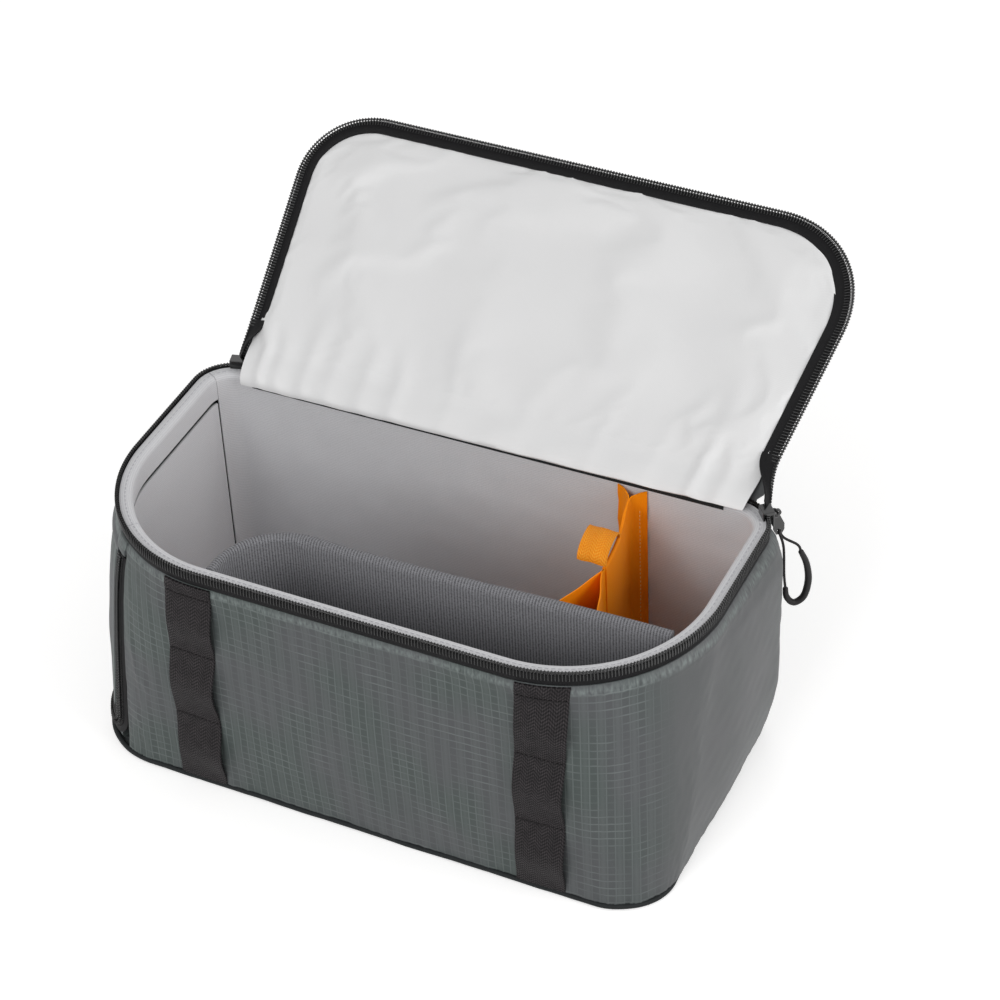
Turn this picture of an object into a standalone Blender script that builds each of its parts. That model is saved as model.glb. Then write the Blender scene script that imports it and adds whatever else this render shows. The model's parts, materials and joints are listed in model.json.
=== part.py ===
"""Camera bag insert: a padded box with a zipped lid, a zipped end door and lift-out dividers.

Metres, +Z up. +X runs along the long front side, +Y points to the hinged back, and the
origin is on the surface that the insert stands on, under its middle. The lid is shown open.
"""
import math

import bpy
import bmesh
from mathutils import Vector

# Overall size, outside the padded walls
LENGTH = 0.370
DEPTH = 0.180
HEIGHT = 0.160
FRONT_SPREAD = 0.0075

# Corner radii seen from above, at the rim and at the base, back left first and then anticlockwise
RIM_BACK_RADIUS = 0.024
RIM_FRONT_LEFT_RADIUS = 0.088
RIM_FRONT_RIGHT_RADIUS = 0.092
BASE_FRONT_LEFT_RADIUS = 0.046
BASE_FRONT_RIGHT_RADIUS = 0.036
BASE_BACK_RIGHT_RADIUS = 0.028

# Part of the front corners' rounding that comes in only just under the rim
RIM_PINCH_SHARE = 0.25

# How far the soft sides swell between their corners
FRONT_BULGE = 0.0045
END_BULGE = 0.0020
END_BELLY = 0.0085
BACK_BULGE = 0.0020
DOOR_CROWN = 0.0035
LID_CROWN = 0.0035

# Layers of the wall, from the outside in, and the clearance between any two pieces
GAP = 0.0003
SOFT_GAP = 0.0008
SEAM_GAP = 0.0005
SKIN = 0.0010
FOAM_DEPTH = 0.0083
LINING = 0.0010
BASE_SKIN = 0.0012
BASE_BOARD = 0.0050
BOARD_CLEARANCE = 0.0009
PIPING_RADIUS = 0.0016
PIPING_LIFT = 0.0004

# Rim zip: tape, coil and the facing that closes the top of the foam
RIM_TAPE_HEIGHT = 0.0073
COIL_RADIUS = 0.0012
FACING_DROP = 0.0028
FACING_THICKNESS = 0.0025
ZIP_START_ANGLE = math.radians(8)

# Lid, a little longer than the rim and pinched in at its hinge
LID_OVERLENGTH = 0.008
LID_SHORTFALL = 0.0025
LID_SHIFT = 0.0025
LID_FRONT_LEFT_RADIUS = 0.050
LID_FRONT_RIGHT_RADIUS = 0.067
LID_OPEN = math.radians(151)
LID_TAPE_WIDTH = 0.0080
LID_FOAM = 0.0040
LID_TAPER_SHARE = 0.105
LID_TAPE_START_ANGLE = math.radians(30)
LID_COIL_START_ANGLE = math.radians(55)

# Door in the left end, under its zip
DOOR_MARGIN = 0.013
DOOR_FLARE = 0.020
DOOR_HINGE_DROP = 0.0200
DOOR_ZIP_BOTTOM = 0.0115
DOOR_CORNER_RADIUS = 0.012
DOOR_COIL_RADIUS = 0.0010
DOOR_TAPE_WIDTH = 0.0080
FRAME_TAPE_WIDTH = 0.0068
DOOR_CLEARANCE = 0.0008
HINGE_BEAD_RADIUS = 0.0012
GARAGE_WIDTH = 0.012
GARAGE_HEIGHT = 0.0100
GARAGE_THICKNESS = 0.0011

# Webbing bars on the front
WEBBING_WIDTH = 0.030
WEBBING_THICKNESS = 0.0014
WEBBING_LIFT = 0.0022
LEFT_WEBBING_INSET = 0.083
RIGHT_WEBBING_INSET = 0.069
LOW_STITCH_SHARE = 0.325
HIGH_STITCH_SHARE = 0.625

# Long divider, which closes off a front pocket
DIVIDER_THICKNESS = 0.0070
DIVIDER_DROP = 0.0045
DIVIDER_START_INSET = 0.092
DIVIDER_BEND_INSET = 0.018
DIVIDER_BEND_RADIUS = 0.039
POCKET_DEPTH = 0.0635
TAB_THICKNESS = 0.0012
TAB_LENGTH = 0.030
TAB_LOW = 0.030
TAB_DROP = 0.020

# Cross divider of thin cloth with forked ends
CROSS_INSET = 0.0805
CROSS_LEAN = 0.0015
CROSS_FRONT_SPACE = 0.0450
CROSS_BACK_SPACE = 0.044
CROSS_THICKNESS = 0.0025
CROSS_DROP = 0.0150
FORK_THICKNESS = 0.0014
FRONT_FORK_ROOT = 0.004
FRONT_FORK_SPREAD = 0.014
FRONT_FORK_FOOT = 0.010
BACK_FORK_SPLIT = 0.006
BACK_FORK_LEAN = 0.006
BACK_FORK_SPREAD = 0.009
BACK_FORK_FOOT = 0.006
BACK_FORK_RISE = 0.009
FORK_LOW = 0.020
PULL_LOOP_WIDTH = 0.018
PULL_LOOP_RISE = 0.0088
PULL_LOOP_SHIFT = 0.0080
PULL_LOOP_THICKNESS = 0.0012

# Zip sliders, seen along the coil: x is outward and z is up from the coil's centre
SLIDER_LENGTH = 0.0090
SLIDER_SLOT = 0.0022
SLIDER_WALL = 0.0013
SLIDER_CROWN = 0.0024
SLIDER_OUTER_LEG = 0.0065
SLIDER_INNER_LEG = 0.0012
SLIDER_BEVEL = 0.0004
BRIDGE_RADIUS = 0.0008
BRIDGE_STANDOFF = 0.0028
BRIDGE_HALF_SPAN = 0.0032
BRIDGE_SINK = 0.0004
LEFT_SLIDER_ANGLE = math.radians(15)
RIGHT_SLIDER_ANGLE = math.radians(50)
DOOR_SLIDER_DROP = 0.0103
DOOR_SLIDER_ROOF = 0.0014

# Pull on a slider: a tab on the bridge, a cord and a hooked rubber grip
TAB_EYE_RADIUS = 0.0024
TAB_EYE_BORE = 0.0012
PULL_TAB_LENGTH = 0.0185
PULL_TAB_WIDTH = 0.0064
PULL_TAB_THICKNESS = 0.0014
PULL_TAB_NECK = 0.0085
CORD_RADIUS = 0.0008
CORD_BORE = 0.0013
CORD_SIDE = 0.0019
CORD_LEAD = 0.004
CORD_DROP = 0.006
CORD_TAIL = 0.010
CORD_STANDOFF = 0.0026
GRIP_RADIUS = 0.0017
GRIP_REACH = 0.0200
GRIP_HANG = 0.0715

# The hooked grip's path, as shares of its reach and of how far it hangs
GRIP_PATH_SHARES = ((0.725, 0.448), (0.925, 0.601), (1.0, 0.783), (0.875, 0.951), (0.575, 1.0),
                    (0.35, 0.923), (0.30, 0.811))
GRIP_THIN_SHARE = 0.85
GRIP_SWELL_SHARE = 0.35

# How sharply the sides' and the door's swelling fades towards their edges
SWELL_ACROSS_POWER = 1.5
SWELL_UP_POWER = 0.8
DOOR_ACROSS_POWER = 4
DOOR_UP_POWER = 0.7
PINCH_POWER = 6

# Where along the outline the right end's belly starts, peaks and ends, counted in legs, and the
# shares of the height over which it tucks in at the base and under the tape
BELLY_START = 4.20
BELLY_PEAK = 6.10
BELLY_END = 6.95
BELLY_LOW_SHARE = 0.36
BELLY_TOP_SHARE = 0.12

# Number of steps along each leg of the outline and up the walls
LEG_STEPS = {0: 5, 1: 3, 2: 8, 3: 7, 4: 8, 5: 3, 6: 5, 7: 6}
WALL_LEVELS = 6
NEAR_SHARE = 0.02
DOOR_TURN_STEPS = 5
DOOR_ACROSS_STEPS = 14
PAD_TURN_STEPS = 4
PAD_ACROSS_STEPS = 10
BEND_STEPS = 8
TOP_STEPS = 6
WEBBING_STEPS = 4
LOOP_STEPS = 8
DIVIDER_RUN_SHARES = (0.15, 0.4, 0.7, 1.0)

HALF_LENGTH = LENGTH / 2
BACK_Y = DEPTH / 2
LID_LENGTH = LENGTH + LID_OVERLENGTH
LID_DEPTH = DEPTH - LID_SHORTFALL
DOOR_HALF_WIDTH = BACK_Y - DOOR_MARGIN
DOOR_HINGE_Z = HEIGHT - DOOR_HINGE_DROP
DOOR_SLIDER_Z = HEIGHT - DOOR_SLIDER_DROP
LEFT_WEBBING_X = LEFT_WEBBING_INSET - HALF_LENGTH
RIGHT_WEBBING_X = HALF_LENGTH - RIGHT_WEBBING_INSET
DIVIDER_START_X = DIVIDER_START_INSET - HALF_LENGTH
DIVIDER_BEND_Y = DIVIDER_BEND_INSET - BACK_Y
DIVIDER_END_Y = POCKET_DEPTH - BACK_Y
TAB_HIGH = HEIGHT - TAB_DROP
CROSS_X = HALF_LENGTH - CROSS_INSET
CROSS_FRONT_Y = DIVIDER_END_Y + CROSS_FRONT_SPACE
CROSS_BACK_Y = BACK_Y - CROSS_BACK_SPACE
CROSS_TOP = HEIGHT - CROSS_DROP
RIM_FRONT_Y = -DEPTH / 2
BASE_FRONT_Y = RIM_FRONT_Y - FRONT_SPREAD
RIM_RADII = (RIM_BACK_RADIUS, RIM_FRONT_LEFT_RADIUS, RIM_FRONT_RIGHT_RADIUS, RIM_BACK_RADIUS)
BASE_RADII = (RIM_BACK_RADIUS, BASE_FRONT_LEFT_RADIUS, BASE_FRONT_RIGHT_RADIUS, BASE_BACK_RIGHT_RADIUS)
LID_RADII = (RIM_BACK_RADIUS, LID_FRONT_LEFT_RADIUS, LID_FRONT_RIGHT_RADIUS, RIM_BACK_RADIUS)
SIDE_BULGE = {1: 0.0, 3: FRONT_BULGE, 5: END_BULGE, 7: BACK_BULGE}

FOAM_OUTER = SKIN + SOFT_GAP
LINING_OUTER = FOAM_DEPTH + GAP
LINING_INNER = LINING_OUTER + LINING
PIPING_Z = PIPING_RADIUS + PIPING_LIFT
SKIN_BOTTOM = PIPING_Z + PIPING_RADIUS + GAP
BOARD_BOTTOM = BASE_SKIN + GAP
BOARD_TOP = BOARD_BOTTOM + BASE_BOARD
FLOOR_BOTTOM = BOARD_TOP + GAP
FLOOR_TOP = FLOOR_BOTTOM + LINING

RIM_COIL_Z = HEIGHT - COIL_RADIUS
RIM_TAPE_TOP = RIM_COIL_Z - COIL_RADIUS - GAP
RIM_TAPE_BOTTOM = RIM_TAPE_TOP - RIM_TAPE_HEIGHT
SKIN_TOP = RIM_TAPE_BOTTOM - GAP
COIL_INSET = SKIN / 2
FACING_TOP = HEIGHT - FACING_DROP
FACING_BOTTOM = FACING_TOP - FACING_THICKNESS
WALL_TOP = FACING_BOTTOM - GAP

LID_PLANE_Z = HEIGHT + GAP + COIL_RADIUS
HINGE_Y = BACK_Y - COIL_INSET
LID_TAPE_OUTER = COIL_INSET + COIL_RADIUS + GAP
LID_TAPE_INNER = LID_TAPE_OUTER + LID_TAPE_WIDTH
LID_PANEL_INSET = LID_TAPE_INNER + GAP
LID_LINING_LOW = -SKIN - SKIN / 2
LID_LINING_HIGH = -SKIN / 2
LID_FOAM_LOW = LID_LINING_HIGH + GAP
LID_FOAM_HIGH = LID_FOAM_LOW + LID_FOAM
LID_SKIN_LOW = LID_FOAM_HIGH + GAP
LID_SKIN_HIGH = LID_SKIN_LOW + SKIN

DOOR_TOP = DOOR_HINGE_Z - HINGE_BEAD_RADIUS - GAP
STRIP_BOTTOM = DOOR_HINGE_Z + HINGE_BEAD_RADIUS + GAP
DOOR_COIL_OFFSET = DOOR_COIL_RADIUS + GAP / 2
DOOR_COIL_INSET = -DOOR_COIL_RADIUS - GAP
DIVIDER_TOP = HEIGHT - DIVIDER_DROP
DIVIDER_BOTTOM = FLOOR_TOP + GAP


def material(name, red, green, blue, roughness, metallic=0.0):
    """A plain Principled material in linear colour."""
    made = bpy.data.materials.new(name)
    made.use_nodes = True
    shader = made.node_tree.nodes["Principled BSDF"]
    shader.inputs["Base Color"].default_value = (red, green, blue, 1)
    shader.inputs["Roughness"].default_value = roughness
    shader.inputs["Metallic"].default_value = metallic
    return made


def plan_point(u, half_length, front, back, radii, inset):
    """A point of the outline seen from above, and its outward normal.

    u runs anticlockwise from 0 to 8, a unit for each leg: the even legs are the rounded
    corners, from the back left one, and the odd legs are the straight sides between them.
    """
    u = u % 8
    leg = int(u)
    share = u - leg
    back_left, front_left, front_right, back_right = radii
    centres = {
        0: (-half_length + back_left, back - back_left, back_left),
        2: (-half_length + front_left, front + front_left, front_left),
        4: (half_length - front_right, front + front_right, front_right),
        6: (half_length - back_right, back - back_right, back_right),
    }
    corner = leg if leg % 2 == 0 else leg - 1
    turn = share if leg % 2 == 0 else 1.0
    x, y, radius = centres[corner]
    angle = math.radians(90) * (1 + corner / 2 + turn)
    normal = Vector((math.cos(angle), math.sin(angle), 0))
    point = Vector((x, y, 0)) + normal * (radius - inset)
    if leg % 2:
        x, y, radius = centres[(leg + 1) % 8]
        end = Vector((x, y, 0)) + normal * (radius - inset)
        point = point.lerp(end, share)
    return point, normal


def wall_share(z):
    """How far up the soft wall a height lies, from 0 at the base to 1 under the zip."""
    return min(max(z / SKIN_TOP, 0), 1)


def corner_radii(z):
    """The wall's corner radii at a height: they grow upward, and most of all close to the rim."""
    share = wall_share(z)
    share *= 1 - RIM_PINCH_SHARE + RIM_PINCH_SHARE * share ** PINCH_POWER
    return [base + (rim - base) * share for base, rim in zip(BASE_RADII, RIM_RADII)]


def wall_front(z):
    """How far forward the front side stands at a height."""
    return BASE_FRONT_Y + (RIM_FRONT_Y - BASE_FRONT_Y) * wall_share(z)


def eased(share):
    """A share that leaves 0 and reaches 1 with no corner."""
    share = min(max(share, 0), 1)
    return share * share * (3 - 2 * share)


def end_belly(u, z):
    """How far the right end and its back corner roll out under the tape, easing in at the base."""
    run = eased((u - BELLY_START) / (BELLY_PEAK - BELLY_START))
    run *= eased((BELLY_END - u) / (BELLY_END - BELLY_PEAK))
    share = min(max((z - SKIN_BOTTOM) / (SKIN_TOP - SKIN_BOTTOM), 0), 1)
    low = math.sin(math.radians(90) * min(share / BELLY_LOW_SHARE, 1))
    top = math.sin(math.radians(90) * min((1 - share) / BELLY_TOP_SHARE, 1))
    return END_BELLY * run * low * top


def wall_point(u, z, inset):
    """A point on the soft outer wall at height z, moved in by inset along the normal."""
    point, normal = plan_point(u, HALF_LENGTH, wall_front(z), BACK_Y, corner_radii(z), inset)
    swell = SIDE_BULGE.get(int(u % 8), 0.0)
    across = 2 * (u % 1) - 1
    upward = max(math.sin(math.pi * wall_share(z)), 0)
    point += normal * swell * (1 - across ** 2) ** SWELL_ACROSS_POWER * upward ** SWELL_UP_POWER
    point += normal * end_belly(u % 8, z)
    point.z = z
    return point


def inner_point(u, z, inset):
    """A point on the inner wall, whose sides are straight and whose corners follow the outside."""
    point, normal = plan_point(u, HALF_LENGTH, RIM_FRONT_Y, BACK_Y, corner_radii(z), inset)
    point.z = z
    return point


def lid_point(u, inset, z):
    """A point of the closed lid about the hinge axis; the lid narrows towards its hinge."""
    front = BACK_Y - LID_DEPTH
    point, normal = plan_point(u, LID_LENGTH / 2, front, BACK_Y, LID_RADII, inset)
    toward_hinge = (point.y - front) / LID_DEPTH
    point.x = (point.x + LID_SHIFT) * (1 - LID_TAPER_SHARE * toward_hinge)
    return Vector((point.x, point.y - HINGE_Y, z))


def leg_lengths():
    """The length of each leg of the rim's outline."""
    lengths = []
    for leg in range(8):
        if leg % 2 == 0:
            lengths.append(RIM_RADII[leg // 2] * math.radians(90))
        else:
            start, normal = plan_point(leg, HALF_LENGTH, RIM_FRONT_Y, BACK_Y, RIM_RADII, 0)
            end, normal = plan_point(leg + 1, HALF_LENGTH, RIM_FRONT_Y, BACK_Y, RIM_RADII, 0)
            lengths.append((end - start).length)
    return lengths


LEG_LENGTHS = leg_lengths()


def advance(u, distance):
    """The station that lies a distance further along the rim; distance may be negative."""
    leg = math.floor(u)
    share = u - leg
    run = share * LEG_LENGTHS[leg % 8] + distance
    while run < 0:
        leg -= 1
        run += LEG_LENGTHS[leg % 8]
    while run > LEG_LENGTHS[leg % 8]:
        run -= LEG_LENGTHS[leg % 8]
        leg += 1
    return leg + run / LEG_LENGTHS[leg % 8]


def left_station(along, z=HEIGHT):
    """The station at a distance along the wall from the middle of the left end, plus to the front."""
    radius = corner_radii(z)[1]
    front_run = -wall_front(z) - radius
    back_run = BACK_Y - RIM_BACK_RADIUS
    quarter = math.radians(90)
    if along > front_run:
        return 2 + (along - front_run) / (radius * quarter)
    if along < -back_run:
        return 1 + (along + back_run) / (RIM_BACK_RADIUS * quarter)
    return 1 + (along + back_run) / (front_run + back_run)


def door_station(along, z=HEIGHT):
    """The same, but with the door's front half flaring out towards the base."""
    if along > 0:
        along += DOOR_FLARE * along / DOOR_HALF_WIDTH * (1 - wall_share(z))
    return left_station(along, z)


def row_marks(marks, edge, z):
    """The marks at height z, where the front left corner is tighter.

    One end of the run is an edge at a set distance along the door's wall. The marks between
    it and that end of the corner are shared out again.
    """
    corner = 3 if marks[0] > 2 else 2
    scale = (door_station(edge, z) - corner) / (door_station(edge) - corner)
    return [corner + (u - corner) * scale if 2 < u < 3 else u for u in marks]


def stations(start, end):
    """Stations from start to end, with a fixed number of steps along each whole leg."""
    marks = [start]
    leg = math.floor(start)
    while leg < end:
        steps = LEG_STEPS[leg % 8]
        for step in range(1, steps + 1):
            mark = leg + step / steps
            if start < mark < end:
                marks.append(mark)
        leg += 1
    marks.append(end)
    inside = [m for m in marks[1:-1] if start + NEAR_SHARE < m < end - NEAR_SHARE]
    return [marks[0]] + inside + [marks[-1]]


def levels(low, high, count):
    """Evenly spaced heights."""
    return [low + (high - low) * step / count for step in range(count + 1)]


def link(made, collection, finish=None, parent=None):
    """Put an object into a collection, with its material and its parent."""
    collection.objects.link(made)
    if finish is not None:
        made.data.materials.append(finish)
    if parent is not None:
        made.parent = parent
    return made


def axis_empty(name, collection, location, rotation=(0, 0, 0), parent=None):
    """An empty on a joint's axis."""
    empty = bpy.data.objects.new(name, None)
    empty.location = location
    empty.rotation_euler = rotation
    empty.empty_display_size = RIM_BACK_RADIUS
    collection.objects.link(empty)
    empty.parent = parent
    return empty


def mesh_object(name, points, faces, collection, finish, parent=None):
    """An object with a mesh of the given points and faces."""
    mesh = bpy.data.meshes.new(name)
    mesh.from_pydata([tuple(p) for p in points], [], faces)
    mesh.validate()
    return link(bpy.data.objects.new(name, mesh), collection, finish, parent)


def grid_faces(rows, columns, closed, start=0, flip=False):
    """Quads over a grid of points whose rows follow each other."""
    faces = []
    last = columns if closed else columns - 1
    for row in range(rows - 1):
        for column in range(last):
            a = start + row * columns + column
            b = start + row * columns + (column + 1) % columns
            quad = (a, b, b + columns, a + columns)
            faces.append(quad[::-1] if flip else quad)
    return faces


def sheet(name, rows, thickness, collection, finish, parent=None, closed=False, outward=False):
    """Cloth or tape: an open surface given its thickness by Solidify."""
    points = [p for row in rows for p in row]
    faces = grid_faces(len(rows), len(rows[0]), closed)
    made = mesh_object(name, points, faces, collection, finish, parent)
    shell = made.modifiers.new("thickness", 'SOLIDIFY')
    shell.thickness = thickness
    shell.offset = 1 if outward else -1
    return made


def slab(name, outer, inner, collection, finish, parent=None, closed=False):
    """Foam between two unlike surfaces of the same grid, closed round its edges."""
    rows = len(outer)
    columns = len(outer[0])
    count = rows * columns
    points = [p for row in outer for p in row] + [p for row in inner for p in row]
    faces = grid_faces(rows, columns, closed)
    faces += grid_faces(rows, columns, closed, count, True)
    last = columns if closed else columns - 1
    for column in range(last):
        a = column
        b = (column + 1) % columns
        faces.append((b, a, a + count, b + count))
        a += (rows - 1) * columns
        b += (rows - 1) * columns
        faces.append((a, b, b + count, a + count))
    if not closed:
        for row in range(rows - 1):
            a = row * columns
            b = a + columns
            faces += [(a, b, b + count), (a, b + count, a + count)]
            a = row * columns + columns - 1
            b = a + columns
            faces += [(b, a, b + count), (b + count, a, a + count)]
    return mesh_object(name, points, faces, collection, finish, parent)


def cushion(name, ring, low, high, shares, collection, finish, parent=None):
    """A crowned pad from concentric rings; ring(share, z) gives the points of one ring."""
    points = []
    for share in shares:
        points += ring(share, high(share))
    columns = len(ring(1, 0))
    rings = len(shares)
    points.append(sum(ring(0, high(0)), Vector()) / columns)
    top = len(points)
    for share in shares:
        points += ring(share, low(share))
    points.append(sum(ring(0, low(0)), Vector()) / columns)
    faces = grid_faces(rings, columns, True)
    faces += grid_faces(rings, columns, True, top, True)
    inner = (rings - 1) * columns
    for column in range(columns):
        following = (column + 1) % columns
        faces.append((inner + column, inner + following, top - 1))
        faces.append((top + inner + following, top + inner + column, len(points) - 1))
        faces.append((following, column, top + column, top + following))
    return mesh_object(name, points, faces, collection, finish, parent)


def bead(name, points, radius, collection, finish, parent=None, closed=False):
    """A round cord, coil or piping along a run of points."""
    curve = bpy.data.curves.new(name, 'CURVE')
    curve.dimensions = '3D'
    curve.bevel_depth = radius
    curve.bevel_resolution = 2
    curve.use_fill_caps = True
    spline = curve.splines.new('POLY')
    spline.points.add(len(points) - 1)
    for spot, point in zip(spline.points, points):
        spot.co = (point[0], point[1], point[2], 1)
    spline.use_cyclic_u = closed
    return link(bpy.data.objects.new(name, curve), collection, finish, parent)


def plate(name, outlines, low, high, collection, finish, parent=None):
    """A flat outline, with any holes, extruded from low to high along its own Z."""
    curve = bpy.data.curves.new(name, 'CURVE')
    curve.dimensions = '2D'
    curve.fill_mode = 'BOTH'
    curve.extrude = (high - low) / 2
    for outline in outlines:
        spline = curve.splines.new('POLY')
        spline.points.add(len(outline) - 1)
        for spot, point in zip(spline.points, outline):
            spot.co = (point[0], point[1], 0, 1)
        spline.use_cyclic_u = True
    made = link(bpy.data.objects.new(name, curve), collection, finish, parent)
    made.location.z = (low + high) / 2
    return made


def smooth_run(knots, steps):
    """Points on a Catmull-Rom curve through the knots, with the given steps between two."""
    run = []
    padded = [knots[0] * 2 - knots[1]] + knots + [knots[-1] * 2 - knots[-2]]
    for index in range(1, len(padded) - 2):
        a, b, c, d = padded[index - 1:index + 3]
        for step in range(steps):
            t = step / steps
            run.append((b * 2 + (c - a) * t + (a * 2 - b * 5 + c * 4 - d) * t ** 2
                        + (b * 3 - a - c * 3 + d) * t ** 3) / 2)
    run.append(knots[-1])
    return run


def base(parts, ink):
    """The bottom: cloth, piping round its edge, stiff padded board and brushed floor."""
    marks = stations(0, 8)[:-1]
    outline = [wall_point(u, 0, PIPING_RADIUS + GAP) for u in marks]
    plate("base_skin", [outline], 0, BASE_SKIN, parts, ink["shell"])
    ring = [wall_point(u, PIPING_Z, 0) for u in marks]
    bead("base_piping", ring, PIPING_RADIUS, parts, ink["black"], closed=True)
    outline = [inner_point(u, BOARD_TOP, FOAM_DEPTH + BOARD_CLEARANCE) for u in marks]
    plate("base_board", [outline], BOARD_BOTTOM, BOARD_TOP, parts, ink["foam"])
    outline = [inner_point(u, FLOOR_TOP, LINING_INNER + BOARD_CLEARANCE) for u in marks]
    plate("floor_lining", [outline], FLOOR_BOTTOM, FLOOR_TOP, parts, ink["lining"])


def wall_rows(surface, marks, heights, inset, edge=None):
    """A grid over the wall. Where a run ends in the front left corner, edge is that end's distance."""
    rows = []
    for z in heights:
        here = marks if edge is None else row_marks(marks, edge, z)
        rows.append([surface(u, z, inset) for u in here])
    return rows


def wall_foam(name, marks, heights, parts, ink, edge=None):
    """One foam panel of the wall: its outside follows the cloth and its inside is straight."""
    outer = wall_rows(wall_point, marks, heights, FOAM_OUTER, edge)
    inner = wall_rows(inner_point, marks, heights, FOAM_DEPTH, edge)
    slab(name, outer, inner, parts, ink["foam"])


def walls(parts, ink):
    """The padded walls: outer cloth, foam panels and brushed lining, open at the door."""
    heights = levels(SKIN_BOTTOM, SKIN_TOP, WALL_LEVELS)
    roll = SKIN_TOP - BELLY_TOP_SHARE * (SKIN_TOP - SKIN_BOTTOM)
    heights = heights[:-1] + [roll, SKIN_TOP]
    skin_edge = DOOR_HALF_WIDTH + FRAME_TAPE_WIDTH + GAP
    marks = stations(door_station(skin_edge), 8 + door_station(-skin_edge))
    sheet("outer_skin", wall_rows(wall_point, marks, heights, 0, skin_edge), SKIN, parts, ink["shell"])
    strip_edge = skin_edge - SEAM_GAP
    marks = stations(door_station(-strip_edge), door_station(strip_edge))
    rows = wall_rows(wall_point, marks, (STRIP_BOTTOM, SKIN_TOP), 0, strip_edge)
    sheet("left_end_strip", rows, SKIN, parts, ink["shell"])

    post_edge = DOOR_HALF_WIDTH + DOOR_CLEARANCE
    seam = SEAM_GAP / 2
    marks = stations(door_station(post_edge), advance(3, -seam))
    wall_foam("front_left_foam_post", marks, heights + [WALL_TOP], parts, ink, post_edge)
    names = ("front_foam", "front_right_corner_foam", "right_end_foam", "back_right_corner_foam",
             "back_foam")
    for leg, name in enumerate(names, start=3):
        marks = stations(advance(leg, seam), advance(leg + 1, -seam))
        wall_foam(name, marks, heights + [WALL_TOP], parts, ink)
    marks = stations(advance(8, seam), 8 + door_station(-post_edge))
    wall_foam("back_left_foam_post", marks, heights + [WALL_TOP], parts, ink)
    top_edge = post_edge - SEAM_GAP
    marks = stations(door_station(-top_edge), door_station(top_edge))
    wall_foam("left_top_foam", marks, [STRIP_BOTTOM, SKIN_TOP, WALL_TOP], parts, ink, top_edge)
    sill_top = DOOR_ZIP_BOTTOM - GAP
    outer = wall_rows(wall_point, marks, (SKIN_BOTTOM, sill_top), FOAM_OUTER, top_edge)
    inner = wall_rows(inner_point, marks, (SKIN_BOTTOM, sill_top), FOAM_DEPTH, top_edge)
    slab("door_sill", outer, inner, parts, ink["lining"])

    marks = stations(door_station(post_edge), 8 + door_station(-post_edge))
    lining_heights = [FLOOR_BOTTOM] + heights[1:] + [WALL_TOP]
    rows = wall_rows(inner_point, marks, lining_heights, LINING_OUTER, post_edge)
    sheet("wall_lining", rows, LINING, parts, ink["lining"])
    marks = stations(door_station(-top_edge), door_station(top_edge))
    rows = wall_rows(inner_point, marks, (STRIP_BOTTOM, SKIN_TOP, WALL_TOP), LINING_OUTER, top_edge)
    sheet("left_top_lining", rows, LINING, parts, ink["lining"])


def rim(parts, ink):
    """The rim: facing over the foam, zip tape and coil, and the hinge seam along the back."""
    marks = stations(0, 8)[:-1]
    outer = [[inner_point(u, z, FOAM_OUTER) for u in marks] for z in (FACING_BOTTOM, FACING_TOP)]
    inner = [[inner_point(u, z, LINING_INNER) for u in marks] for z in (FACING_BOTTOM, FACING_TOP)]
    slab("rim_facing", outer, inner, parts, ink["lining"], closed=True)

    lead = ZIP_START_ANGLE / math.radians(90)
    marks = stations(lead, 7 - lead)
    rows = [[inner_point(u, z, 0) for u in marks] for z in (RIM_TAPE_BOTTOM, RIM_TAPE_TOP)]
    sheet("rim_zip_tape", rows, SKIN, parts, ink["black"])
    bead("rim_zip_coil", [inner_point(u, RIM_COIL_Z, COIL_INSET) for u in marks], COIL_RADIUS,
         parts, ink["coil"])

    hinge_end = LID_PLANE_Z - HINGE_BEAD_RADIUS - GAP
    marks = [advance(7, SEAM_GAP), advance(8, -SEAM_GAP)]
    rows = [[inner_point(u, z, 0) for u in marks] for z in (RIM_TAPE_BOTTOM, hinge_end)]
    sheet("back_hinge_strip", rows, SKIN, parts, ink["shell"])
    ends = [inner_point(u, LID_PLANE_Z, COIL_INSET) for u in marks]
    bead("lid_hinge_seam", ends, HINGE_BEAD_RADIUS, parts, ink["black"])


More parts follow.
